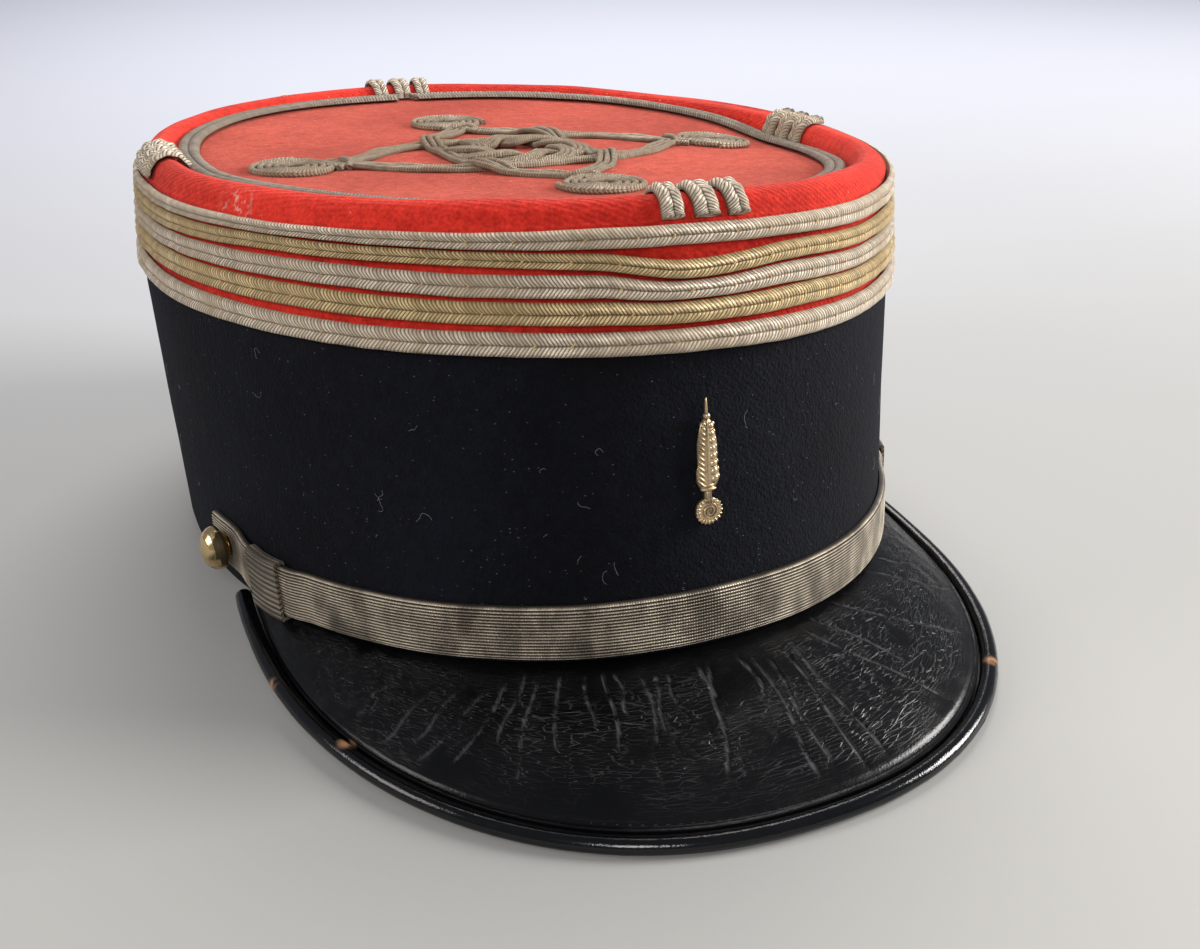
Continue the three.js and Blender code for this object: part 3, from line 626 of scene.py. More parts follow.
def braid_group() -> bpy.types.NodeTree:
    """Builds plaited metal thread: slanting strokes in each cord with painted highlights on their crests and
    painted shade in the gaps, and tarnish.
    """
    found = bpy.data.node_groups.get("plaited_thread")
    if found:
        return found
    group, g, inp, out = new_group(
        "plaited_thread",
        {
            "Light": (COLOUR, (1, 1, 1, 1)),
            "Dark": (COLOUR, (0, 0, 0, 1)),
            "Stain": (COLOUR, (0, 0, 0, 1)),
            "Cords": (FLOAT, 2.0),
            "Pitch": (FLOAT, 0.9),
            "Slant": (FLOAT, 1.2),
            "Tarnish": (FLOAT, 0.5),
        },
        {"Color": COLOUR, "Height": FLOAT, "Roughness": FLOAT},
    )
    where = g.coordinates()
    spread = g.node("ShaderNodeSeparateXYZ")
    g.feed(spread.inputs[0], g.coordinates("UV"))
    along, across = spread.outputs[0], g.math("DIVIDE", spread.outputs[1], FRONT_SHARE)
    in_cord = g.math("FRACT", g.math("MULTIPLY", across, inp["Cords"]))
    from_middle = g.math("ABSOLUTE", g.math("SUBTRACT", in_cord, 0.5))
    from_spine = g.math("ABSOLUTE", g.math("SUBTRACT", across, 0.5))
    wobble = g.math("MULTIPLY", g.noise(where, 260.0, 2.0), 0.7)
    phase = g.math("DIVIDE", g.math("ADD", along, wobble), inp["Pitch"])
    phase = g.math("ADD", phase, g.math("MULTIPLY", g.math("MULTIPLY", from_spine, 2.0), inp["Slant"]))
    chance = g.node("ShaderNodeTexWhiteNoise", noise_dimensions="1D")
    g.feed(chance.inputs["W"], g.math("FLOOR", g.math("ADD", phase, 0.25)))
    stroke = g.math("SINE", g.math("MULTIPLY", phase, 2 * math.pi))
    stroke = g.math("ADD", g.math("MULTIPLY", stroke, 0.5), 0.5)
    threads = g.math("SINE", g.math("MULTIPLY", phase, 8 * math.pi))
    # Painted light and shade: each stroke is lit along its crest and dark between strokes, and darker at the
    # cord edges and along the spine where the two cords meet.
    spine_fold_and_shade = g.step(from_spine, 0.0, 0.05)
    painted_groove_shade = g.math("SUBTRACT", 1.0, g.step(from_middle, 0.4, 0.5))
    lit = g.math("MULTIPLY", g.step(stroke, 0.02, 0.6), painted_groove_shade)
    lit = g.math("MULTIPLY", lit, g.math("ADD", 0.6, g.math("MULTIPLY", spine_fold_and_shade, 0.4)))
    grain = g.noise(where, 900.0, 3.0)
    lit = g.math("MULTIPLY", lit, g.math("ADD", 0.55, g.math("MULTIPLY", chance.outputs["Value"], 0.6)))
    lit = g.math("MULTIPLY", lit, g.math("ADD", 0.55, g.math("MULTIPLY", grain, 0.8)), clamp=True)
    metal = g.mix(lit, inp["Dark"], inp["Light"])
    blots = g.step(g.noise(where, 48.0, 6.0), 0.4, 0.66)
    stained = g.mix(g.math("MULTIPLY", blots, inp["Tarnish"]), metal, inp["Stain"])
    g.feed(out.inputs["Color"], stained)
    height = g.math("ADD", g.math("MULTIPLY", stroke, 0.8), g.math("MULTIPLY", threads, 0.12))
    height = g.math("ADD", height, g.math("MULTIPLY", spine_fold_and_shade, 0.25))
    g.feed(out.inputs["Height"], g.math("ADD", height, g.math("MULTIPLY", grain, 0.35)))
    g.feed(out.inputs["Roughness"], g.math("ADD", 0.38, g.math("MULTIPLY", blots, 0.3)))
    return group


class Finish:
    """What every finish shares: one material, made once."""

    name: str

    def material(self) -> bpy.types.Material:
        """Returns the finish's material, and builds it the first time."""
        name = f"{self.name}_finish"
        found = bpy.data.materials.get(name)
        if found:
            return found
        made = bpy.data.materials.new(name)
        made.use_nodes = True
        made.node_tree.nodes.clear()
        graph = Graph(made.node_tree)
        shader = graph.node("ShaderNodeBsdfPrincipled")
        leave = graph.node("ShaderNodeOutputMaterial")
        graph.feed(leave.inputs["Surface"], shader.outputs[0])
        self.dress(graph, shader)
        return made

    def dress(self, graph: Graph, shader: bpy.types.Node) -> None:
        """Feeds the shader."""
        raise NotImplementedError

    def bump(self, graph: Graph, shader: bpy.types.Node, height: object, distance: float) -> None:
        """Adds relief of a given depth, in millimetres."""
        made = graph.node("ShaderNodeBump")
        made.inputs["Strength"].default_value = 1.0
        made.inputs["Distance"].default_value = distance * MM
        graph.feed(made.inputs["Height"], height)
        graph.feed(shader.inputs["Normal"], made.outputs[0])

    def use(self, graph: Graph, group: bpy.types.NodeTree, **values: object) -> bpy.types.Node:
        """Places a shared group with this finish's own values."""
        made = graph.node("ShaderNodeGroup", node_tree=group)
        for key, value in values.items():
            graph.feed(made.inputs[key.replace("_", " ")], value)
        return made


@dataclass(frozen=True)
class WoolFinish(Finish):
    """Woollen cloth of one colour."""

    name: str
    deep: Rgb
    worn: Rgb
    lint: Rgb = (0.5, 0.5, 0.55)
    lint_amount: float = 0.02
    weave: float = 0.25
    relief: float = 0.25
    sheen: float = 0.3
    sheen_tint: Rgb = (0.4, 0.45, 0.6)

    def dress(self, graph: Graph, shader: bpy.types.Node) -> None:
        """Feeds the shader with the nap."""
        nap = self.use(
            graph,
            wool_group(),
            Deep=rgba(self.deep),
            Worn=rgba(self.worn),
            Lint=rgba(self.lint),
            Lint_Amount=self.lint_amount,
            Weave=self.weave,
        )
        graph.feed(shader.inputs["Base Color"], nap.outputs["Color"])
        graph.feed(shader.inputs["Roughness"], nap.outputs["Roughness"])
        shader.inputs["Specular IOR Level"].default_value = 0.15
        shader.inputs["Sheen Weight"].default_value = self.sheen
        shader.inputs["Sheen Tint"].default_value = rgba(self.sheen_tint)
        self.bump(graph, shader, nap.outputs["Height"], self.relief)


@dataclass(frozen=True)
class CrownFinish(WoolFinish):
    """Red cloth: bright on the roll, a paler red on the sunken top that paints the grazing sheen on it, with
    a pale scuff.
    """

    # Paler red of the sunken top, painting the grazing sheen on it.
    top_sheen_deep: Rgb = (0.27, 0.024, 0.014)
    top_sheen_worn: Rgb = (0.6, 0.09, 0.055)
    scuff_at: tuple[float, float, float] = (-0.078, -0.018, 0.0975)

    def dress(self, graph: Graph, shader: bpy.types.Node) -> None:
        """Feeds the shader with two naps, the second painting the top's sheen, and the scuff."""
        parts = graph.node("ShaderNodeSeparateXYZ")
        graph.feed(parts.inputs[0], graph.coordinates("UV"))
        where = graph.coordinates()
        # Painted sheen: the sunken top takes the paler red, which stands for the light grazing across it.
        on_top = graph.step(parts.outputs[1], 0.47, 0.53)
        naps = []
        for deep, worn in ((self.deep, self.worn), (self.top_sheen_deep, self.top_sheen_worn)):
            naps.append(
                self.use(
                    graph,
                    wool_group(),
                    Deep=rgba(deep),
                    Worn=rgba(worn),
                    Lint=rgba(self.lint),
                    Lint_Amount=self.lint_amount,
                    Weave=self.weave,
                )
            )
        cloth = graph.mix(on_top, naps[0].outputs["Color"], naps[1].outputs["Color"])
        away = graph.node("ShaderNodeVectorMath", operation="DISTANCE")
        graph.feed(away.inputs[0], where)
        away.inputs[1].default_value = self.scuff_at
        close = graph.math("SUBTRACT", 1.0, graph.step(away.outputs["Value"], 0.001, 0.009))
        frayed = graph.step(graph.noise(where, 700.0, 4.0), 0.5, 0.62)
        scuff = graph.math("MULTIPLY", close, frayed)
        graph.feed(shader.inputs["Base Color"], graph.mix(scuff, cloth, (0.75, 0.6, 0.5, 1)))
        graph.feed(shader.inputs["Roughness"], naps[0].outputs["Roughness"])
        shader.inputs["Specular IOR Level"].default_value = 0.12
        shader.inputs["Sheen Weight"].default_value = self.sheen
        shader.inputs["Sheen Tint"].default_value = rgba(self.sheen_tint)
        self.bump(graph, shader, naps[0].outputs["Height"], self.relief)


@dataclass(frozen=True)
class BraidFinish(Finish):
    """Plaited metal thread."""

    name: str
    light: Rgb
    dark: Rgb
    stain: Rgb
    cords: float = 2.0
    pitch: float = 0.85
    slant: float = 1.3
    tarnish: float = 0.55
    metallic: float = 0.2
    relief: float = 0.4

    def dress(self, graph: Graph, shader: bpy.types.Node) -> None:
        """Feeds the shader with the strokes."""
        plait = self.use(
            graph,
            braid_group(),
            Light=rgba(self.light),
            Dark=rgba(self.dark),
            Stain=rgba(self.stain),
            Cords=self.cords,
            Pitch=self.pitch,
            Slant=self.slant,
            Tarnish=self.tarnish,
        )
        graph.feed(shader.inputs["Base Color"], plait.outputs["Color"])
        graph.feed(shader.inputs["Roughness"], plait.outputs["Roughness"])
        shader.inputs["Metallic"].default_value = self.metallic
        shader.inputs["Specular IOR Level"].default_value = 0.4
        self.bump(graph, shader, plait.outputs["Height"], self.relief)


@dataclass(frozen=True)
class StrapFinish(Finish):
    """Ribbed braid with painted shade in the valleys between the ribs, tarnished in streaks across the strap.
    """

    name: str
    # Colours of the lit rib crests and of the painted shade in the valleys.
    light: Rgb = (0.56, 0.48, 0.37)
    dark: Rgb = (0.04, 0.032, 0.024)
    ribs: float = 17.0
    turned: bool = False
    girth: float = 28.0

    def dress(self, graph: Graph, shader: bpy.types.Node) -> None:
        """Feeds the shader with ribs, their painted valley shade and streaks."""
        uv = graph.coordinates("UV")
        where = graph.coordinates()
        parts = graph.node("ShaderNodeSeparateXYZ")
        graph.feed(parts.inputs[0], uv)
        across = graph.math("DIVIDE", parts.outputs[1], FRONT_SHARE)
        if self.turned:
            across = graph.math("DIVIDE", parts.outputs[0], self.girth)
        in_rib = graph.math("FRACT", graph.math("MULTIPLY", across, self.ribs))
        off = graph.math("ABSOLUTE", graph.math("SUBTRACT", in_rib, 0.5))
        # Painted shade: the colour darkens from each rib's crest into the valley beside it; the same profile
        # also gives the ribs' relief.
        rib_crest_and_shade = graph.math("SUBTRACT", 1.0, graph.step(off, 0.12, 0.46))
        streaks = graph.noise(graph.stretch(uv, (0.16, 1.2, 1.0)), 1.0, 5.0)
        patches = graph.noise(where, 60.0, 5.0)
        fine = graph.noise(graph.stretch(uv, (3.0, 14.0, 1.0)), 1.0, 2.0)
        worn = graph.math("ADD", graph.math("MULTIPLY", streaks, 0.6), graph.math("MULTIPLY", patches, 0.5))
        worn = graph.step(worn, 0.42, 0.68)
        lit = graph.math("MULTIPLY", rib_crest_and_shade, graph.math("ADD", 0.22, graph.math("MULTIPLY", worn, 0.78)))
        lit = graph.math("MULTIPLY", lit, graph.math("ADD", 0.5, fine), clamp=True)
        graph.feed(shader.inputs["Base Color"], graph.mix(lit, rgba(self.dark), rgba(self.light)))
        shader.inputs["Metallic"].default_value = 0.45
        shader.inputs["Roughness"].default_value = 0.42
        wefts = graph.math("SINE", graph.math("MULTIPLY", parts.outputs[0], 2 * math.pi / 0.55))
        height = graph.math("ADD", graph.math("MULTIPLY", wefts, 0.25), graph.math("MULTIPLY", rib_crest_and_shade, 0.6))
        self.bump(graph, shader, graph.math("ADD", height, graph.math("MULTIPLY", fine, 0.5)), 0.14)


@dataclass(frozen=True)
class LeatherFinish(Finish):
    """Black leather: painted highlights along the creases, fine cracks across them and worn spots."""

    name: str
    base: Rgb = (0.0018, 0.0018, 0.0021)
    # Colour of the painted highlight along the creases.
    crease: Rgb = (0.06, 0.062, 0.064)
    wear: Rgb = (0.36, 0.19, 0.1)
    roughness: float = 0.17
    gloss: float = 0.26
    cracked: bool = True

    def dress(self, graph: Graph, shader: bpy.types.Node) -> None:
        """Feeds the shader with grain, painted crease highlights, cracks and wear."""
        where = graph.coordinates()
        grain = graph.cells(where, 1500.0, "DISTANCE_TO_EDGE").outputs["Distance"]
        broad = graph.noise(where, 45.0, 4.0)
        smear = graph.noise(where, 320.0, 4.0)
        colour: object = graph.mix(graph.step(broad, 0.4, 0.7), rgba(self.base), (0.0035, 0.0035, 0.004, 1))
        height = graph.math("MULTIPLY", grain, 0.3)
        rough = graph.math("ADD", self.roughness, graph.math("MULTIPLY", smear, 0.16))
        marks = graph.node("ShaderNodeAttribute", attribute_name="wear")
        if self.cracked:
            # Painted highlight: a paler line along each crease, where the crease catches the light.
            creased = graph.node("ShaderNodeAttribute", attribute_name="crease")
            split = graph.node("ShaderNodeAttribute", attribute_name="cracks")
            lines = graph.math("POWER", creased.outputs["Fac"], 2.5)
            lines = graph.math("MULTIPLY", lines, graph.step(smear, 0.35, 0.6))
            colour = graph.mix(lines, colour, rgba(self.crease))
            bent = graph.node("ShaderNodeVectorMath", operation="SCALE")
            swirl = graph.node("ShaderNodeTexNoise")
            graph.feed(swirl.inputs["Vector"], where)
            swirl.inputs["Scale"].default_value = 240.0
            graph.feed(bent.inputs[0], swirl.outputs["Color"])
            bent.inputs["Scale"].default_value = 0.4
            laid = graph.node("ShaderNodeVectorMath", operation="ADD")
            graph.feed(laid.inputs[0], graph.stretch(graph.coordinates("UV"), (0.24, 78.0, 1.0)))
            graph.feed(laid.inputs[1], bent.outputs[0])
            net = graph.cells(laid.outputs[0], 1.0, "DISTANCE_TO_EDGE").outputs["Distance"]
            cracks = graph.math("SUBTRACT", 1.0, graph.step(net, 0.0, 0.055))
            some = graph.step(graph.noise(where, 90.0, 3.0), 0.34, 0.58)
            cracks = graph.math("MULTIPLY", graph.math("MULTIPLY", cracks, some), split.outputs["Fac"])
            # The cracks are real marks, drawn in half the painted crease highlight colour.
            colour = graph.mix(graph.math("MULTIPLY", cracks, 0.5), colour, rgba(self.crease))
            height = graph.math("SUBTRACT", height, graph.math("MULTIPLY", cracks, 0.7))
            rough = graph.math("ADD", rough, graph.math("MULTIPLY", lines, 0.25))
        rubbed = graph.math("MULTIPLY", marks.outputs["Fac"], graph.step(smear, 0.36, 0.5))
        graph.feed(shader.inputs["Base Color"], graph.mix(rubbed, colour, rgba(self.wear)))
        graph.feed(shader.inputs["Roughness"], rough)
        shader.inputs["Specular IOR Level"].default_value = self.gloss
        self.bump(graph, shader, height, 0.12)


@dataclass(frozen=True)
class MetalFinish(Finish):
    """Brass or gilt metal: rubbed bright high up, dark in the hollows, with painted shade on the side that
    faces the shaded direction.
    """

    name: str
    bright: Rgb
    dark: Rgb
    roughness: float = 0.25
    tarnish: tuple[float, float] = (0.45, 0.7)
    # Direction of the side that is painted dark as shade.
    shaded: tuple[float, float, float] = (0.0, 0.0, 0.0)

    def dress(self, graph: Graph, shader: bpy.types.Node) -> None:
        """Feeds the shader with tarnish, hollows and the painted side shade."""
        where = graph.coordinates()
        blots = graph.step(graph.noise(where, 190.0, 5.0), *self.tarnish)
        hollows = graph.node("ShaderNodeNewGeometry")
        deep = graph.math("SUBTRACT", 1.0, graph.step(hollows.outputs["Pointiness"], 0.42, 0.5))
        facing = graph.node("ShaderNodeVectorMath", operation="DOT_PRODUCT")
        graph.feed(facing.inputs[0], hollows.outputs["Normal"])
        facing.inputs[1].default_value = self.shaded
        # Painted shade: the side facing the shaded direction is dark, with a ragged edge; the mask is joined
        # with the real tarnish and hollows.
        painted_side_shade = graph.math(
            "ADD", facing.outputs["Value"], graph.math("MULTIPLY", graph.noise(where, 500.0), 0.5)
        )
        tarnish_and_shade = graph.math("MAXIMUM", blots, graph.math("MULTIPLY", deep, 0.8))
        tarnish_and_shade = graph.math("MAXIMUM", tarnish_and_shade, graph.step(painted_side_shade, 0.82, 0.92))
        graph.feed(shader.inputs["Base Color"], graph.mix(tarnish_and_shade, rgba(self.bright), rgba(self.dark)))
        graph.feed(shader.inputs["Metallic"], graph.math("SUBTRACT", 1.0, graph.math("MULTIPLY", tarnish_and_shade, 0.3)))
        graph.feed(
            shader.inputs["Roughness"],
            graph.math("ADD", self.roughness, graph.math("MULTIPLY", tarnish_and_shade, 0.35)),
        )
        self.bump(graph, shader, graph.noise(where, 900.0, 3.0), 0.05)


NAVY = WoolFinish(
    "navy_wool", (0.0003, 0.0004, 0.001), (0.0042, 0.005, 0.0105), (0.14, 0.14, 0.18), 0.2, 0.03, 0.6, 0.02,
)
RED = CrownFinish(
    "red_cloth", (0.36, 0.012, 0.007), (0.88, 0.045, 0.026), lint=(0.9, 0.4, 0.3), lint_amount=0.05,
    weave=0.2, relief=0.35, sheen=0.13, sheen_tint=(1.0, 0.5, 0.4),
)
# Each braid's light and dark colours are its lit strokes and the painted shade between them.
SILVER = BraidFinish("silver_braid", (0.98, 0.84, 0.67), (0.25, 0.185, 0.125), (0.42, 0.32, 0.21), slant=2.1)
GOLD = BraidFinish("gold_braid", (0.95, 0.72, 0.38), (0.2, 0.13, 0.055), (0.36, 0.25, 0.12), slant=2.1)
TOP_SILVER = BraidFinish(
    "top_edge_braid", (0.44, 0.37, 0.29), (0.12, 0.09, 0.065), (0.2, 0.15, 0.1), slant=1.6, tarnish=0.4
)
LOOP_SILVER = BraidFinish(
    "loop_braid", (0.9, 0.78, 0.62), (0.15, 0.115, 0.08), (0.36, 0.28, 0.18),
    pitch=0.7, slant=2.6, relief=0.22
)
CORD_SILVER = BraidFinish(
    "knot_cord", (0.46, 0.36, 0.25), (0.13, 0.095, 0.06), (0.2, 0.14, 0.085), cords=1.0, pitch=0.6, relief=0.2
)
STRAP = StrapFinish("strap_braid")
KEEPER = StrapFinish("keeper_braid", (0.3, 0.25, 0.19), (0.04, 0.034, 0.026), 40.0, True)
WAXED = LeatherFinish("waxed_thread", (0.008, 0.008, 0.009), roughness=0.4, gloss=0.15, cracked=False)
STITCH = BraidFinish(
    "stitch_thread", (0.95, 0.72, 0.32), (0.35, 0.22, 0.08), (0.5, 0.34, 0.14), cords=1.0, relief=0.1
)
FIBRE = WoolFinish("pale_fibre", (0.1, 0.1, 0.12), (0.26, 0.26, 0.29), relief=0.02)
THREAD = WoolFinish("pale_thread", (0.5, 0.4, 0.36), (0.85, 0.75, 0.68), relief=0.02)
# The brass's last triple is the direction whose side is painted dark as shade.
BRASS = MetalFinish(
    "button_brass", (0.75, 0.55, 0.28), (0.05, 0.035, 0.015), 0.22, (0.5, 0.75), (0.25, -0.85, 0.35)
)
CAST = MetalFinish("badge_metal", (0.56, 0.43, 0.27), (0.05, 0.038, 0.024), 0.36, (0.48, 0.75))
LEATHER = LeatherFinish("peak_leather")
RIM_LEATHER = LeatherFinish("rim_leather", (0.0015, 0.0018, 0.0025), roughness=0.06, gloss=0.4, cracked=False)


# Sub-assemblies


class Side(Enum):
    """A side of the cap, as seen by the camera."""

    LEFT = -1
    RIGHT = 1

    @property
    def word(self) -> str:
        """Returns the side's name in a piece's name."""
        return self.name.lower()


def ring_angle(share: Array) -> Array:
    """Returns the angle of a share of the way round, starting at the back."""
    return share * 360.0 - 180.0


@dataclass
class BandWall:
    """The hollow navy wall."""

    steps: int = 360
    rows: int = 60
    unevenness: float = 0.25

    def build(self) -> list[bpy.types.Object]:
        """Builds the wall, outside and in, with its lower edge arched over the peak.

        Returns:
            The wall.
        """
        loop = np.array([(0.0, -0.5), (0.0, 0.0), (1.0, 0.0), (1.0, -1.0), (0.0, -1.0), (0.0, -0.5)])
        knots = np.array([0.0, 0.02, 0.6, 0.64, 0.98, 1.0])

        def surface(u: Array, v: Array) -> Array:
            """Returns the wall's skin, outside and in."""
            angle = ring_angle(u)
            up = np.interp(v, knots, loop[:, 0])
            out = np.interp(v, knots, loop[:, 1]) * SHAPE.wall
            bottom, top = SHAPE.lower_edge(angle), SHAPE.cloth_seam(angle) - GAP / 2
            height = bottom + (top - bottom) * up
            free = np.sin(np.clip(up, 0, 1) * np.pi)
            wave = ripple(np.sin(np.radians(angle)) * 90, np.cos(np.radians(angle)) * 90 + height, 4, 70)
            return SHAPE.wall_point(angle, height, out + wave * free * self.unevenness)

        wall = laid_grid("band_wall_cloth", self.steps, self.rows, surface, 580.0)
        return [finish_piece(wall, NAVY, "navy_wool", "band_wall"), self.build_fibres()]

    def build_fibres(self) -> bpy.types.Object:
        """Builds the stray pale fibres that cling to the wool."""
        rng = np.random.default_rng(8)
        fibres = []
        for angle, height in [(-22, 44), (-13, 22), (-18, 18), (-40, 50), (5, 52), (14, 30)] + [
            (rng.uniform(-180, 180), rng.uniform(14, 60)) for _ in range(34)
        ]:
            heading = rng.uniform(0, 2 * np.pi) + np.cumsum(rng.normal(rng.normal(0, 0.12), 0.35, 16))
            step = rng.uniform(0.06, 0.34)
            up = height + np.cumsum(np.sin(heading)) * step
            turn = angle + np.cumsum(np.cos(heading)) * step / 1.55
            path = SHAPE.wall_point(turn, up, np.full(16, self.unevenness + 0.12))
            fibres.append(tube(f"fibre_{len(fibres)}", path, 0.038, 4))
        return finish_piece(joined("wool_fibres", fibres), FIBRE, "navy_wool")


@dataclass
class Crown:
    """The red crown: wall behind the braid, padded roll, sunken top and inside."""

    steps: int = 400
    rows: int = 110
    lining_rows: int = 26

    def skin(self, u: Array, v: Array) -> Array:
        """Returns the outer skin, from the seam over the roll to the middle of the top."""
        angle = ring_angle(u)
        foot = round_the_ring(GALON_ANGLES, GALON_FOOT, angle)
        seam = SHAPE.cloth_seam(angle) + GAP / 2
        wall = SHAPE.wall_point(angle, seam + (foot - seam) * np.clip(v / 0.1, 0, 1), np.zeros_like(u))
        rolled = SHAPE.roll_point(angle, np.clip((v - 0.1) / 0.4, 0, 1))
        edge_x, edge_y = SHAPE.crown_oval(angle, SHAPE.sunken_inset(angle))
        share = 1 - np.clip((v - 0.5) / 0.5, 0, 1)
        x, y = edge_x * share, SHAPE.shifts[2] + (edge_y - SHAPE.shifts[2]) * share
        sag = ripple(x, y, 21, 60) * 0.35 * (1 - share**6)
        top = SHAPE.place(x, y, SHAPE.sunken_height(x, y) + sag)
        swell = ripple(angle * 1.5, v * 60, 9, 40) * 0.22 * np.sin(np.clip((v - 0.1) / 0.4, 0, 1) * np.pi)
        rolled[:, 2] += swell
        roll = SHAPE.place(rolled[:, 0], rolled[:, 1], rolled[:, 2])
        return np.where((v < 0.1)[:, None], wall, np.where((v < 0.5)[:, None], roll, top))

    def inside(self, u: Array, v: Array) -> Array:
        """Returns the inner skin, from the middle of the ceiling down to the seam."""
        angle = ring_angle(u)
        corner_x, corner_y = SHAPE.crown_oval(angle, np.full_like(u, SHAPE.wall))
        share = np.clip(v / 0.6, 0, 1)
        x, y = corner_x * share, SHAPE.shifts[2] + (corner_y - SHAPE.shifts[2]) * share
        ceiling = SHAPE.place(x, y, SHAPE.sunken_height(x, y) - SHAPE.wall)
        high = SHAPE.sunken_height(corner_x, corner_y) - SHAPE.wall
        low = SHAPE.cloth_seam(angle) + GAP / 2
        height = high + (low - high) * np.clip((v - 0.6) / 0.34, 0, 1)
        out = -SHAPE.wall * (1 - np.clip((v - 0.94) / 0.06, 0, 1))
        wall = SHAPE.wall_point(angle, height, out)
        return np.where((v <= 0.6)[:, None], ceiling, wall)

    def build(self) -> list[bpy.types.Object]:
        """Builds both skins and joins them at the seam.

        Returns:
            The crown.
        """
        outer = laid_grid("crown_skin", self.steps, self.rows, self.skin)
        inner = laid_grid("crown_inside", self.steps, self.lining_rows, self.inside)
        crown = joined("crown_cloth", [outer, inner])
        make_active(crown)
        bpy.ops.object.mode_set(mode="EDIT")
        bpy.ops.mesh.select_all(action="SELECT")
        bpy.ops.mesh.remove_doubles(threshold=4e-6)
        bpy.ops.mesh.normals_make_consistent(inside=False)
        bpy.ops.object.mode_set(mode="OBJECT")
        return [finish_piece(crown, RED, "red_cloth", "crown"), self.build_thread()]

    def build_thread(self) -> bpy.types.Object:
        """Builds the loose pale thread that lies across the roll near the back."""
        share = np.linspace(0, 1, 14)
        point = SHAPE.roll_point(-159.0 + 2.2 * share + 0.5 * np.sin(share * 9), 0.3 + 0.32 * share)
        path = SHAPE.place(point[:, 0], point[:, 1], point[:, 2] + 0.3)
        return finish_piece(tube("roll_thread", path, 0.22, 6), THREAD, "red_cloth")


def cord_relief(across: Array, relief: float, groove: float, cords: int) -> Array:
    """Returns the height of a flat braid of side-by-side cords."""
    in_cord = np.mod(across * cords, 1.0)
    dome = np.sqrt(np.maximum(0, 1 - (2 * in_cord - 1) ** 2))
    envelope = np.maximum(0, 1 - np.abs(2 * across - 1) ** 7) ** 0.5
    return envelope * (relief - groove * (1 - dome))


def front_and_back(v: Array, relief: Callable[[Array], Array]) -> tuple[Array, Array]:
    """Splits a closed section into the braid's face and its flat back.

    Args:
        v: Share of the way round the section.
        relief: Height of the face for shares across it.

    Returns:
        Shares across the braid, and heights over its back.
    """
    face = v <= FRONT_SHARE
    across = np.where(face, v / FRONT_SHARE, 1 - (v - FRONT_SHARE) / (1 - FRONT_SHARE))
    return across, np.where(face, relief(np.clip(across, 0, 1)), 0.0)


@dataclass
class Galons:
    """Five rows of double braid round the crown."""

    steps: int = 720
    rows: int = 26
    relief: float = 1.75
    groove: float = 0.6
    count: int = 5

    def build(self) -> list[bpy.types.Object]:
        """Builds each row in silver or gold, and the stitches that hold them.

        Returns:
            The rows, from the top down, then the stitches.
        """
        return [self.build_row(row) for row in range(self.count)] + [self.build_stitches()]

    def build_stitches(self) -> bpy.types.Object:
        """Builds the short gold stitches that cross each row's middle groove."""
        rng = np.random.default_rng(12)
        stitches = []
        for row in range(self.count):
            for start in np.arange(-176, 180, 6.6):
                angle = start + rng.uniform(-1.4, 1.4) + np.linspace(0, rng.uniform(0.5, 0.9), 4)
                bottom, top = self.level(row, angle)
                middle = (bottom + top) / 2 + np.linspace(-0.5, 0.5, 4) * rng.uniform(0.6, 1.3)
                out = GAP + self.relief - self.groove + np.array([0.12, 0.34, 0.34, 0.12])
                path = SHAPE.wall_point(angle, middle, out)
                stitches.append(tube(f"galon_stitch_{len(stitches)}", path, 0.17, 5))
        piece = joined("galon_stitches", stitches)
        return finish_piece(piece, STITCH, "gold_braid")

    def level(self, row: int, angle: Array) -> tuple[Array, Array]:
        """Returns the heights of a row's edges, with the slight sway of the braid."""
        bottom, top = SHAPE.galon_edges(row, angle)
        sway = ripple(angle * 1.5, angle * 0, 30 + row, 40) * 0.12
        return bottom + sway, top + sway

    def build_row(self, row: int) -> bpy.types.Object:
        """Builds one row."""

        def surface(u: Array, v: Array) -> Array:
            """Returns the row's skin."""
            angle = ring_angle(u)
            bottom, top = self.level(row, angle)
            across, out = front_and_back(v, lambda a: cord_relief(a, self.relief, self.groove, 2))
            puff = 1 + 0.1 * ripple(angle * 1.5, across * 4, 50 + row, 9)
            return SHAPE.wall_point(angle, bottom + (top - bottom) * across, GAP + out * puff)

        piece = laid_grid(f"galon_{row + 1}_braid", self.steps, self.rows, surface, 590.0)
        finish, slot = (GOLD, "gold_braid") if row % 2 else (SILVER, "silver_braid")
        return finish_piece(piece, finish, slot, f"galon_{row + 1}")


@dataclass
class TopEdgeBraid:
    """The braid round the sunken top, with its joint at the back."""

    width: float = 5.2
    relief: float = 1.6
    groove: float = 0.55
    notch: float = 0.5

    def build(self) -> list[bpy.types.Object]:
        """Builds the braid.

        Returns:
            The braid.
        """

        def surface(u: Array, v: Array) -> Array:
            """Returns the braid's skin, mitred at the joint."""
            across, out = front_and_back(v, lambda a: cord_relief(a, self.relief, self.groove, 2))
            start = -180 + self.notch + 1.6 * across
            angle = start + u * (360 - 2 * self.notch - 3.2 * across)
            inset = SHAPE.sunken_inset(angle) + 0.6 + across * self.width
            inset = inset + ripple(angle * 1.5, angle * 0, 71, 50) * 0.25
            x, y = SHAPE.crown_oval(angle, inset)
            return SHAPE.top_point(x, y, out)

        piece = laid_grid("top_edge_cords", 620, 26, surface, 480.0, fill=True)
        return [finish_piece(piece, TOP_SILVER, "silver_braid", "top_edge_braid")]


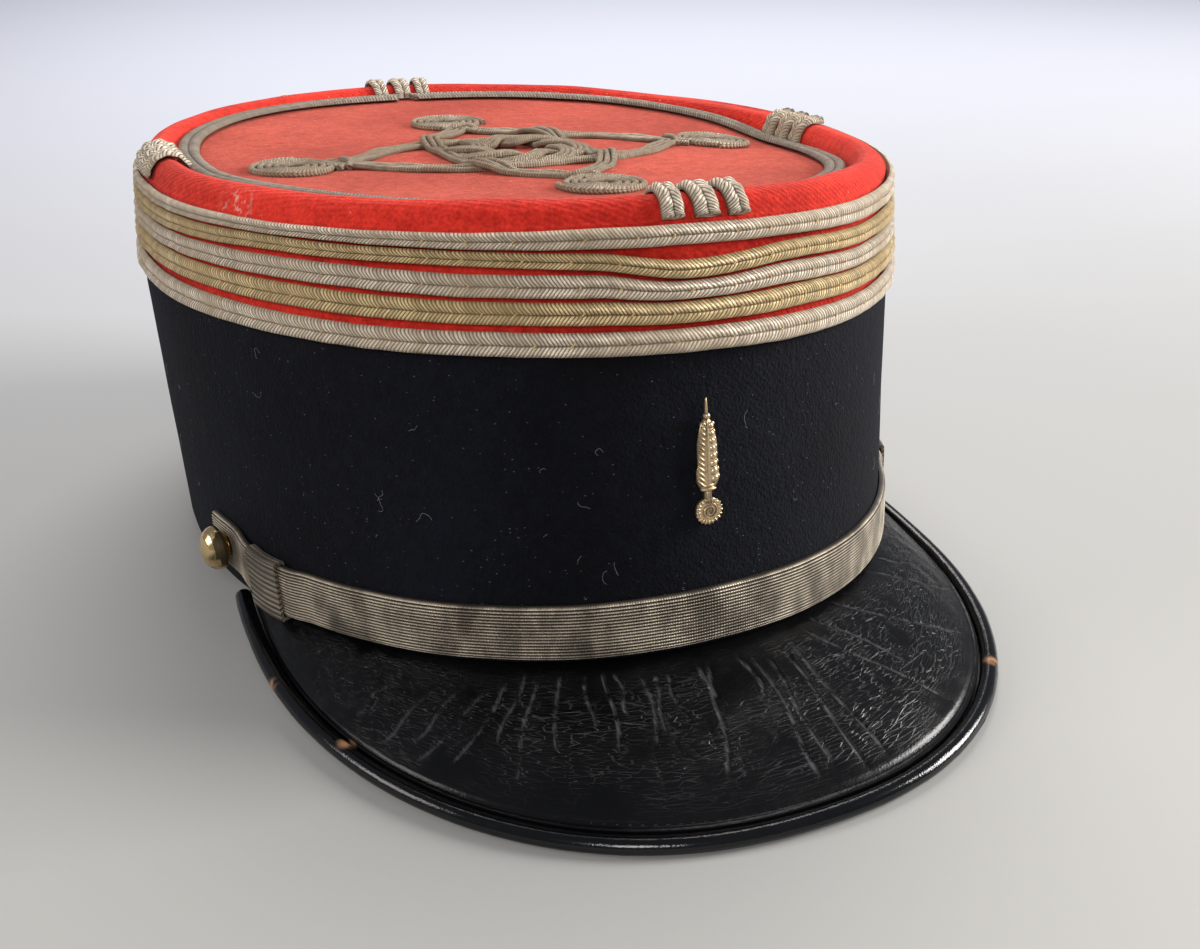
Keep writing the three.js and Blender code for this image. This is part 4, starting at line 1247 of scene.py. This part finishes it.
@dataclass
class CrownKnot:
    """The four-lobed cord knot on the sunken top."""

    centre: tuple[float, float] = (0.7, -4.5)
    strand: float = 0.78
    pitch: float = 1.6
    tilt: float = math.radians(-3.0)
    necks: tuple[tuple[float, float], ...] = ((43.0, 54.5), (35.5, 45.5))

    def on_top(self, flat: Array) -> Array:
        """Returns points over the cloth for flat points about the knot's centre."""
        c, s = math.cos(self.tilt), math.sin(self.tilt)
        x = flat[:, 0] * c - flat[:, 1] * s + self.centre[0]
        y = flat[:, 0] * s + flat[:, 1] * c + self.centre[1]
        return SHAPE.top_point(x, y, flat[:, 2] + self.strand * 0.6 - GAP)

    def strand_piece(self, flat: Array, number: int) -> bpy.types.Object:
        """Builds one strand from flat points and heights."""
        return tube(f"knot_strand_{number}", self.on_top(flat), self.strand, 8)

    def arm(self, neck: float) -> Array:
        """Returns the middle line of a long loop, on one side, from neck to neck."""
        half = [(neck + 3.5, -3.0), (neck, 0.2), (neck - 5, 4.2), (neck * 0.7, 11.5), (neck * 0.45, 16.4)]
        points = np.array(half + [(0, 16.0)] + [(-x, y) for x, y in half[::-1]], float)
        knots = np.concatenate([[0], np.cumsum(np.linalg.norm(np.diff(points, axis=0), axis=1))])
        fine = np.linspace(0, knots[-1], 110)
        line = np.stack([np.interp(fine, knots, points[:, i]) for i in (0, 1)], -1)
        for _ in range(14):
            line[1:-1] = (line[:-2] + 2 * line[1:-1] + line[2:]) / 4
        return line

    def build(self) -> list[bpy.types.Object]:
        """Builds the bands, coils and the tangled ring of the knot.

        Returns:
            The knot, as one piece.
        """
        strands = []
        for quarter in range(4):
            neck, coil = self.necks[quarter % 2]
            turn = quarter * math.pi / 2
            rotate = np.array([[math.cos(turn), math.sin(turn)], [-math.sin(turn), math.cos(turn)]])
            line = self.arm(neck)
            tangent = np.gradient(line, axis=0)
            tangent /= np.linalg.norm(tangent, axis=1)[:, None]
            side = np.stack([-tangent[:, 1], tangent[:, 0]], -1)
            for lane in (-1, 0, 1):
                path = line + side * lane * self.pitch
                cross = np.minimum(np.abs(np.abs(path[:, 0]) - 17.5), 6) / 6
                over = 1.5 * (1 - cross**2) * (1 if quarter % 2 else 0.15)
                over = over + 0.25 * np.sin(np.arange(len(path)) * 0.35 + lane * 2 + quarter)
                flat = np.column_stack([path @ rotate, np.maximum(over, 0)])
                strands.append(self.strand_piece(flat, len(strands)))
            sweep = np.linspace(0, 2 * math.pi * 4.3, 210)
            radius = 2.0 + sweep / (2 * math.pi) * self.pitch * 1.12
            spiral = np.column_stack([coil + radius * np.cos(sweep), radius * np.sin(sweep)]) @ rotate
            strands.append(self.strand_piece(np.column_stack([spiral, np.full(210, 0.15)]), len(strands)))
            tie = np.linspace(-4.2, 4.2, 14)
            wrap = np.column_stack([neck - 0.5 + 0.5 * np.sin(tie), tie]) @ rotate
            lift = 1.2 * np.cos(tie / 4.2 * math.pi / 2)
            strands.append(self.strand_piece(np.column_stack([wrap, lift]), len(strands)))
        for lane in range(6):
            sweep = np.linspace(0, 2 * math.pi, 170)
            wave = sweep * 4 + (math.pi if lane >= 3 else 0.0)
            radius = 11.6 + 3.1 * np.sin(wave) + (lane % 3 - 1) * 1.35
            x, y = radius * np.cos(sweep) * 1.06, radius * np.sin(sweep)
            over = 0.7 + 0.7 * np.cos(wave + lane % 3 * 0.3)
            strands.append(self.strand_piece(np.column_stack([x, y, over]), len(strands)))
        knot = joined("crown_knot_cords", strands)
        return [finish_piece(knot, CORD_SILVER, "silver_braid", "crown_knot")]


@dataclass
class RollLoops:
    """Twelve braid loops over the roll, three to a set."""

    sets: dict[str, float] = field(
        default_factory=lambda: {"front": -0.4, "back": 180, "left": -97, "right": 91.5}
    )
    width: float = 5.2
    pitch: float = 7.2
    relief: float = 1.5

    def build(self) -> list[bpy.types.Object]:
        """Builds every loop.

        Returns:
            The loops, set by set.
        """
        made = []
        for name, centre in self.sets.items():
            xa, ya = SHAPE.crown_oval(np.array([centre, centre + 1.0]), np.array([4.8, 4.8]))
            size = float(np.hypot(xa[1] - xa[0], ya[1] - ya[0]))
            for number, step in enumerate((-1, 0, 1), 1):
                made.append(self.build_loop(f"{name}_loop_{number}", centre + step * self.pitch / size, size))
        return made

    def build_loop(self, node: str, centre: float, size: float) -> bpy.types.Object:
        """Builds one loop.

        Args:
            node: Name of its CAD node.
            centre: Angle of its middle, in degrees.
            size: Millimetres to a degree.

        Returns:
            The loop.
        """
        half = self.width / 2 / size
        seed = sum(map(ord, node))

        def own(angle: Array, step: Array) -> Array:
            """Returns points of the roll as it rests."""
            point = SHAPE.roll_point(angle, step)
            return SHAPE.place(point[:, 0], point[:, 1], point[:, 2])

        def surface(u: Array, v: Array) -> Array:
            """Returns the loop's skin."""
            across, out = front_and_back(v, lambda a: cord_relief(a, self.relief, 0.7, 2))
            step = 0.02 + u * 0.93
            skew = 0.25 * ripple(u * 12, u * 0, seed, 14)
            angle = centre + (across * 2 - 1) * half + skew / size
            point = own(angle, step)
            along = own(angle, step + 0.02) - own(angle, step - 0.02)
            side = own(angle + 0.5, step) - own(angle - 0.5, step)
            normal = np.cross(along, side)
            normal /= np.linalg.norm(normal, axis=1)[:, None]
            normal *= np.where(normal[:, 2] + 0.001 < 0, -1, 1)[:, None]
            plump = 1 + 0.12 * np.sin(u * 44 + np.where(across < 0.5, 0, 1.5))
            return point + normal * (0.5 + out * plump)[:, None]

        loop = laid_grid(f"{node}_braid", 44, 26, surface, 17.0, fill=True)
        return finish_piece(loop, LOOP_SILVER, "silver_braid", node)


@dataclass
class Badge:
    """The cast plume over a roundel at the front of the band."""

    angle: float = -0.8
    roundel: float = 33.2
    ribs: int = 13
    leaves: int = 8

    def build(self) -> list[bpy.types.Object]:
        """Builds the badge flat and bends it to the wall.

        Returns:
            The badge.
        """
        parts = [
            bead((0.0, 44.6, 0.5), (2.2, 7.8, 0.75)),
            bead((0.0, 40.4, 0.5), (2.55, 3.6, 0.75)),
            bead((0.0, 53.4, 0.6), (0.32, 2.7, 0.35)),
            bead((0.0, 52.3, 0.8), (0.75, 0.75, 0.7)),
            bead((0.0, 45.4, 1.05), (0.32, 6.8, 0.45)),
            bead((0.0, 37.7, 0.8), (1.75, 0.5, 0.7)),
            bead((0.0, 38.5, 0.8), (1.3, 0.4, 0.6)),
            bead((0.0, 36.2, 0.6), (0.8, 1.9, 0.7)),
            bead((-0.42, 36.2, 0.9), (0.2, 1.7, 0.45)),
            bead((0.42, 36.2, 0.9), (0.2, 1.7, 0.45)),
        ]
        for i in range(self.ribs):
            share = i / (self.ribs - 1)
            reach = 1.35 - 0.75 * share**1.6
            parts.append(bead((-reach * 0.95 - 0.1, 38.9 + share * 12.0, 0.9), (reach, 0.34, 0.5), -0.75))
        for i in range(self.leaves):
            share = i / (self.leaves - 1)
            reach = 1.0 - 0.45 * share
            parts.append(bead((reach * 1.25, 39.6 + share * 10.8, 0.85), (reach, 0.75, 0.55), 0.85))
            parts.append(bead((reach * 2.0, 40.1 + share * 10.6, 0.75), (0.42, 0.5, 0.45)))
        deselect_all()
        bpy.ops.mesh.primitive_cylinder_add(vertices=40, radius=2.7 * MM, depth=1.0 * MM)
        disc = bpy.context.active_object
        disc.location = Vector((0, self.roundel, 0.5)) * MM
        bevel = disc.modifiers.new("edge", "BEVEL")
        bevel.width = 0.25 * MM
        bevel.segments = 3
        bpy.ops.object.modifier_apply(modifier=bevel.name)
        parts.append(placed(disc))
        for i in range(20):
            turn = i * 2 * math.pi / 20
            x, y = 2.35 * math.cos(turn), 2.35 * math.sin(turn)
            parts.append(bead((x, self.roundel + y, 1.0), (0.55, 0.2, 0.3), turn))
        sweep = np.linspace(0, 2 * math.pi * 2.2, 60)
        radius = 0.25 + sweep / (2 * math.pi) * 0.62
        spiral = np.column_stack(
            [0.15 + radius * np.cos(sweep), self.roundel + radius * np.sin(sweep), np.full(60, 1.15)]
        )
        parts.append(tube("roundel_spiral", spiral, 0.2, 6))
        badge = joined("badge_cast", parts)
        xa, ya = SHAPE.oval(np.array([self.angle - 0.5, self.angle + 0.5]), np.array([45.0, 45.0]))
        to_degrees = 1 / float(np.hypot(xa[1] - xa[0], ya[1] - ya[0]))
        moved(badge, lambda p: SHAPE.wall_point(
            self.angle + p[:, 0] * to_degrees, p[:, 1], GAP + np.maximum(0, p[:, 2])))
        return [finish_piece(badge, CAST, "badge_metal", "badge")]


@dataclass
class ChinStrap:
    """The ribbed false chin strap with its keepers and buttons."""

    height: float = 11.4
    thickness: float = 1.5
    end: float = 81.0
    keeper: tuple[float, float] = (63.9, 70.0)
    button: tuple[float, float] = (77.0, 10.4)
    ribs: int = 17

    def bottom(self, angle: Array) -> Array:
        """Returns the height of the strap's lower edge."""
        return SHAPE.lower_edge(angle) + 1.0 + 3.2 * smooth_step(66, 77, np.abs(angle))

    def standoff(self, angle: Array) -> Array:
        """Returns how far the strap's back stands off the wall."""
        turn = np.abs(angle)
        start, end = self.keeper
        return GAP + 0.9 * smooth_step(start - 5, start - 1, turn) * (1 - smooth_step(end + 1, end + 5, turn))

    def build(self) -> list[bpy.types.Object]:
        """Builds the strap, the keepers and the buttons.

        Returns:
            All five pieces.
        """
        made = [self.build_strap()]
        for side in Side:
            made.append(self.build_keeper(side))
            made.append(self.build_button(side))
        return made

    def build_strap(self) -> bpy.types.Object:
        """Builds the ribbed band."""

        def relief(across: Array) -> Array:
            """Returns the ribs' height."""
            edge = np.maximum(0, 1 - np.abs(2 * across - 1) ** 12) ** 0.5
            rib = np.abs(np.sin(across * self.ribs * math.pi)) ** 0.8
            return edge * (self.thickness - 0.42 + 0.42 * rib)

        def surface(u: Array, v: Array) -> Array:
            """Returns the strap's skin."""
            angle = (u * 2 - 1) * self.end
            across, out = front_and_back(v, relief)
            sway = ripple(angle * 1.5, angle * 0, 81, 60) * 0.15
            low = self.bottom(angle) + sway
            return SHAPE.wall_point(angle, low + across * self.height, self.standoff(angle) + out)

        strap = laid_grid("chin_strap_braid", 300, 150, surface, 250.0, fill=True)
        return finish_piece(strap, STRAP, "strap_braid", "chin_strap")

    def build_keeper(self, side: Side) -> bpy.types.Object:
        """Builds one flat slider round the strap."""
        start, end = self.keeper
        corners = np.array([(0, 0), (1, 0), (1, 1), (0, 1), (0, 0)], float)
        fine = np.linspace(0, 4, 97)
        loop = np.stack([np.interp(fine, range(5), corners[:, i]) for i in (0, 1)], -1)
        for _ in range(5):
            loop = (np.roll(loop[:-1], 1, 0) + 2 * loop[:-1] + np.roll(loop[:-1], -1, 0)) / 4
            loop = np.vstack([loop, loop[:1]])

        def surface(u: Array, v: Array) -> Array:
            """Returns the outer skin, the two ends and the inner skin."""
            at = np.clip((v * 4).astype(int), 0, 3)
            share = v * 4 - at
            along = np.select([at == 0, at == 1, at == 2], [share, 1.0, 1 - share], 0.0)
            grow = np.select([at == 0, at == 1, at == 2], [1.0, 1 - share, 0.0], share)
            angle = start + (end - start) * along
            box_up = np.interp(u * 4, fine, loop[:, 0])
            box_out = np.interp(u * 4, fine, loop[:, 1])
            low, high = self.bottom(angle), self.bottom(angle) + self.height
            back, front = self.standoff(angle), self.standoff(angle) + self.thickness
            thick = 0.2 + 0.65 * grow
            height = low - thick + (high - low + 2 * thick) * box_up
            out = back - 0.2 - 0.3 * grow + (front - back + 0.4 + 0.95 * grow) * box_out
            return SHAPE.wall_point(side.value * angle, height, out)

        keeper = laid_grid(f"{side.word}_keeper_braid", 96, 40, surface, 28.0)
        return finish_piece(keeper, KEEPER, "keeper_braid", f"{side.word}_keeper")

    def build_button(self, side: Side) -> bpy.types.Object:
        """Builds one domed button with its turned rim."""
        profile = np.array(
            [(0, 0), (3.0, 0), (3.3, 0.5), (2.5, 0.9), (4.2, 1.2), (4.95, 1.7),
             (5.0, 2.3), (4.75, 3.3), (4.1, 4.3),
             (3.0, 5.1), (1.6, 5.5), (0, 5.65)], float)
        knots = np.linspace(0, 1, len(profile))
        angle, height = side.value * self.button[0], self.button[1]
        seat = float(self.standoff(np.array(angle))) + self.thickness + GAP
        ends = SHAPE.wall_point(np.full(2, angle), np.full(2, height), np.array([seat, seat + 1]))
        axis = Vector(ends[1] - ends[0]).normalized()
        turn = Vector((0, 0, 1)).rotation_difference(axis).to_matrix()

        def surface(u: Array, v: Array) -> Array:
            """Returns the button's skin."""
            radius, out = (np.interp(v, knots, profile[:, i]) for i in (0, 1))
            spin = u * 2 * np.pi
            dent = 1 - 0.03 * np.exp(-((spin - 1.2) ** 2) / 0.3) * (out > 3)
            own = np.column_stack([radius * np.cos(spin), radius * np.sin(spin), out * dent])
            return own @ np.array(turn).T + ends[0]

        button = laid_grid(f"{side.word}_button_brass", 48, 55, surface)
        return finish_piece(button, BRASS, "button_brass", f"{side.word}_button")


@dataclass
class Peak:
    """The leather peak, its stitched row and the bead that binds its rim."""

    thickness: float = 2.0
    camber: float = 1.4
    bead: tuple[float, float] = (3.8, 3.5)
    wear_spots: tuple[tuple[float, float], ...] = (
        (-82.2, -44.8), (-73.0, -71.5), (-54.2, -109.8), (60.2, -97.7)
    )

    def face(self, u: Array, v: Array) -> Array:
        """Returns the plain upper face, from the band at 0 to the bead at 1."""
        side = u * 2 - 1
        wall_angle, rim_angle = side * 77.0, side * 98.5
        inner = SHAPE.wall_point(wall_angle, SHAPE.lower_edge(wall_angle) - GAP, np.full_like(u, -1.6))
        rim_x, rim_y = SHAPE.rim_point(rim_angle, np.full_like(u, self.bead[0] + GAP))
        rim_z = self.bead[1] / 2 + self.thickness / 2 + SHAPE.rim_rise(rim_angle)
        outer = np.stack([rim_x, rim_y, rim_z], -1)
        width = np.hypot(outer[:, 0] - inner[:, 0], outer[:, 1] - inner[:, 1])
        point = inner + (outer - inner) * v[:, None]
        point[:, 2] += self.camber * 4 * v * (1 - v) * np.minimum(1, width / 40)
        return point

    def creases(self, u: Array, v: Array) -> Array:
        """Returns how deep the creases run, from 0 to 1."""
        depth = np.zeros_like(u)
        rng = np.random.default_rng(5)
        lines = list(PEAK_CREASES)
        for _ in range(46):
            start = rng.uniform(0.14, 0.9)
            high = rng.uniform(0.05, 0.5)
            lean = (start - 0.45) * 0.1 + rng.normal(0, 0.012)
            lines.append((start, high, start + lean, high + rng.uniform(0.1, 0.35)))
        for number, (u0, v0, u1, v1) in enumerate(lines):
            share = (v - v0) / (v1 - v0)
            wander = 0.0022 * np.sin(share * (5 + number % 4) + number)
            middle = u0 + (u1 - u0) * share + wander
            away = np.abs(u - middle) / (0.0017 if number < len(PEAK_CREASES) else 0.0014)
            ends = smooth_step(0.0, 0.12, share) * (1 - smooth_step(0.85, 1.0, share))
            strong = 1.0 if number < len(PEAK_CREASES) else 0.45
            depth = np.maximum(depth, strong * ends * np.exp(-(away**2)))
        return depth

    def build(self) -> list[bpy.types.Object]:
        """Builds the leather, the stitches and the bead.

        Returns:
            The three pieces.
        """
        return [self.build_leather(), self.build_stitches(), self.build_bead()]

    def build_leather(self) -> bpy.types.Object:
        """Builds the creased leather with its groove and worn spots."""

        def surface(u: Array, v: Array) -> Array:
            """Returns the leather's upper face, its edge, its underside and its inner edge."""
            turns = (0.0, 0.68, 0.7, 0.97, 1.0)
            across = np.interp(v, turns, (0, 1, 1, 0, 0))
            drop = np.interp(v, turns, (0, 0, 1, 1, 0))
            point = self.face(u, across)
            lines = self.creases(u, across)
            to_rim = (1 - across) * 45
            groove = np.exp(-(((to_rim - 1.6) / 0.5) ** 2)) * smooth_step(0.1, 0.4, across)
            buckle = ripple(u * 260, across * 9, 61, 16) * 0.16 * np.sin(across * np.pi)
            fine = ripple(u * 300, across * 60, 62, 7) * 0.03
            top = -0.24 * lines - 0.45 * groove + buckle + fine
            point[:, 2] += top * (1 - drop) + (buckle - self.thickness) * drop
            return point

        leather = laid_grid("peak_leather", 760, 124, surface, 260.0, fill=True)
        flat = np.empty(len(leather.data.vertices) * 3)
        leather.data.vertices.foreach_get("co", flat)
        self.mark(leather, flat.reshape(-1, 3) / MM)
        return finish_piece(leather, LEATHER, "peak_leather", "peak")

    def mark(self, piece: bpy.types.Object, points: Array) -> None:
        """Writes where the leather is creased, cracked and worn.

        Args:
            piece: The leather or the bead.
            points: Its vertices, in millimetres.
        """
        wear = np.zeros(len(points))
        for x, y in self.wear_spots:
            away = np.hypot(points[:, 0] - x, points[:, 1] - y)
            wear = np.maximum(wear, 1 - smooth_step(0.6, 2.2, away))
        columns = {"wear": wear}
        if piece.name.startswith("peak_leather"):
            u_line = np.linspace(0, 1, 561)
            v_line = np.linspace(0, 1, 106)
            uu, vv = (grid.ravel() for grid in np.meshgrid(u_line, v_line, indexing="ij"))
            plain = self.face(uu, vv)
            lines = self.creases(uu, vv)
            key = np.rint(plain[:, :2] * 1.0).astype(int)
            cells: dict[tuple[int, int], list[int]] = {}
            for number, (a, b) in enumerate(key):
                cells.setdefault((int(a), int(b)), []).append(number)
            # Crease depth per vertex, which places the painted crease highlight.
            crease = np.zeros(len(points))
            cracks = np.zeros(len(points))
            for number, point in enumerate(points):
                a, b = int(round(point[0])), int(round(point[1]))
                near = [i for da in (-1, 0, 1) for db in (-1, 0, 1) for i in cells.get((a + da, b + db), [])]
                if not near:
                    continue
                gaps = (plain[near, 0] - point[0]) ** 2 + (plain[near, 1] - point[1]) ** 2
                best = near[int(np.argmin(gaps))]
                crease[number] = lines[best]
                across = vv[best]
                cracks[number] = math.sin(min(1.0, max(0.0, across)) * math.pi) ** 1.5
            columns |= {"crease": crease, "cracks": cracks}
        for name, values in columns.items():
            attribute = piece.data.attributes.new(name, "FLOAT", "POINT")
            attribute.data.foreach_set("value", values.astype(np.float32))

    def build_stitches(self) -> bpy.types.Object:
        """Builds the row of black stitches along the bead."""
        angles = np.linspace(-93, 93, 2400)
        x, y = SHAPE.rim_point(angles, np.full_like(angles, self.bead[0] + GAP + 1.7))
        run = np.concatenate([[0], np.cumsum(np.hypot(np.diff(x), np.diff(y)))])
        count = int(run[-1] / 2.3)
        stitches = []
        for i in range(count):
            at = np.interp((i + np.array([0.2, 0.5, 0.8])) * 2.3, run, angles)
            sx, sy = SHAPE.rim_point(at, np.full(3, self.bead[0] + GAP + 1.7))
            z = self.bead[1] / 2 + self.thickness / 2 + SHAPE.rim_rise(at) + np.array([0.0, 0.22, 0.0])
            stitches.append(tube(f"stitch_{i}", np.column_stack([sx, sy, z]), 0.3, 5))
        row = joined("peak_stitches", stitches)
        self.mark(row, np.zeros((len(row.data.vertices), 3)) + 999)
        return finish_piece(row, WAXED, "rim_leather")

    def build_bead(self) -> bpy.types.Object:
        """Builds the rolled leather bead round the rim."""
        width, height = self.bead

        def surface(u: Array, v: Array) -> Array:
            """Returns the bead's skin, tapered at its two ends."""
            angle = (u * 2 - 1) * 99.5
            taper = np.minimum(1, np.minimum(u, 1 - u) / 0.006 + 0.25)
            turn = v * 2 * np.pi
            side, up = width / 2 * np.cos(turn) * taper, height / 2 * np.sin(turn) * taper
            lumps = 1 + 0.03 * ripple(angle * 2.4, v * 4, 91, 18)
            x, y = SHAPE.rim_point(angle, width / 2 - side * lumps)
            return np.stack([x, y, height / 2 + SHAPE.rim_rise(angle) + up], -1)

        bead_piece = laid_grid("peak_bead", 420, 24, surface, 330.0, fill=True)
        flat = np.empty(len(bead_piece.data.vertices) * 3)
        bead_piece.data.vertices.foreach_get("co", flat)
        self.mark(bead_piece, flat.reshape(-1, 3) / MM)
        return finish_piece(bead_piece, RIM_LEATHER, "rim_leather", "peak_binding")


@dataclass
class Studio:
    """Floor, lights and camera."""

    camera_at: tuple[float, float, float] = (-0.12138, -0.29576, 0.17104)
    right: tuple[float, float, float] = (0.91225, -0.40952, 0.00944)
    up: tuple[float, float, float] = (0.17198, 0.40381, 0.89853)
    back: tuple[float, float, float] = (-0.37177, -0.81807, 0.43881)
    lens: float = 42.753
    # Floor colours that paint light and shade: darker to the near right and on the left, paler and bluer far
    # back.
    near_right_shade: Rgb = (0.3, 0.296, 0.285)
    near: Rgb = (0.4, 0.395, 0.377)
    left: Rgb = (0.22, 0.216, 0.205)
    far: Rgb = (0.57, 0.59, 0.67)

    def build(self) -> None:
        """Builds the whole setting."""
        self.build_camera()
        self.build_floor()
        self.build_lights()

    def build_camera(self) -> None:
        """Places the camera as the photograph was taken."""
        data = bpy.data.cameras.new("camera")
        data.lens = self.lens
        data.sensor_width = 36.0
        data.sensor_fit = "HORIZONTAL"
        data.shift_x = -0.0013
        data.shift_y = 0.0004
        data.clip_start = 0.01
        camera = bpy.data.objects.new("camera", data)
        bpy.context.scene.collection.objects.link(camera)
        turn = Matrix((self.right, self.up, self.back)).transposed().to_4x4()
        camera.matrix_world = Matrix.Translation(self.camera_at) @ turn
        bpy.context.scene.camera = camera

    def build_floor(self) -> None:
        """Lays a pale floor whose colour paints light and shade: darker on the left and to the near right,
        paler and bluer far back.
        """
        deselect_all()
        bpy.ops.mesh.primitive_plane_add(size=8.0)
        floor = bpy.context.active_object
        floor.name = "floor"
        made = bpy.data.materials.new("pale_floor")
        made.use_nodes = True
        graph = Graph(made.node_tree)
        shader = made.node_tree.nodes["Principled BSDF"]
        parts = graph.node("ShaderNodeSeparateXYZ")
        where = graph.coordinates()
        graph.feed(parts.inputs[0], where)
        # Painted light and shade across the floor: paler and bluer far back, darker to the near right and on
        # the left.
        depth = graph.step(parts.outputs[1], -0.15, 0.75)
        right_shade_share = graph.math("MULTIPLY", graph.step(parts.outputs[0], 0.05, 0.35), 0.7)
        pale = graph.mix(right_shade_share, rgba(self.near), rgba(self.near_right_shade))
        pale = graph.mix(depth, pale, rgba(self.far))
        left_shade_share = graph.math("SUBTRACT", 1.0, graph.step(parts.outputs[0], -0.45, 0.1))
        pale = graph.mix(graph.math("MULTIPLY", left_shade_share, 0.6), pale, rgba(self.left))
        grain = graph.math("MULTIPLY", graph.noise(where, 900.0, 2.0), 0.06)
        graph.feed(shader.inputs["Base Color"], graph.mix(grain, pale, (0.2, 0.2, 0.2, 1)))
        shader.inputs["Roughness"].default_value = 0.8
        floor.data.materials.append(made)

    def area(
        self, name: str, at: Sequence[float], aim: Sequence[float], size: float, power_w: float, tint: Rgb
    ) -> None:
        """Adds one soft light.

        Args:
            name: Name of the light.
            at: Where it stands.
            aim: What it points at.
            size: Length of its side, in metres.
            power_w: Its power, in watts.
            tint: Its colour.
        """
        data = bpy.data.lights.new(name, "AREA")
        data.size = size
        data.energy = power_w
        data.color = tint
        light = bpy.data.objects.new(name, data)
        bpy.context.scene.collection.objects.link(light)
        light.location = at
        light.rotation_euler = (Vector(aim) - Vector(at)).to_track_quat("-Z", "Y").to_euler()

    def build_lights(self) -> None:
        """Adds an even sky and soft lamps above."""
        world = bpy.data.worlds.new("soft_sky")
        bpy.context.scene.world = world
        world.use_nodes = True
        sky = world.node_tree.nodes["Background"]
        sky.inputs[0].default_value = (0.84, 0.88, 1.0, 1)
        sky.inputs[1].default_value = 0.24
        self.area("overhead", (0.3, 0.75, 1.1), (0, 0, 0.05), 0.8, 14.0, (1.0, 0.98, 0.96))
        self.area("right_side", (1.05, -0.3, 0.5), (0, -0.03, 0.06), 0.5, 20.0, (1.0, 0.98, 0.95))
        self.area("left_side", (-1.0, 0.15, 0.55), (0, 0, 0.06), 0.5, 5.0, (1.0, 0.96, 0.92))
        self.area("front_low", (-0.45, -1.1, 0.75), (0, -0.05, 0.08), 0.4, 7.0, (1.0, 0.98, 0.95))


def main() -> None:
    """Builds the cap piece by piece, then its setting."""
    logging.basicConfig(level=logging.INFO, format="%(message)s")
    bpy.context.scene.view_settings.view_transform = "Standard"
    for part in (
        BandWall(), Crown(), Galons(), TopEdgeBraid(), CrownKnot(), RollLoops(), Badge(), ChinStrap(), Peak()
    ):
        pieces = part.build()
        LOG.info("%s: %d pieces", type(part).__name__, len(pieces))
    Studio().build()


if __name__ == "__main__":
    main()
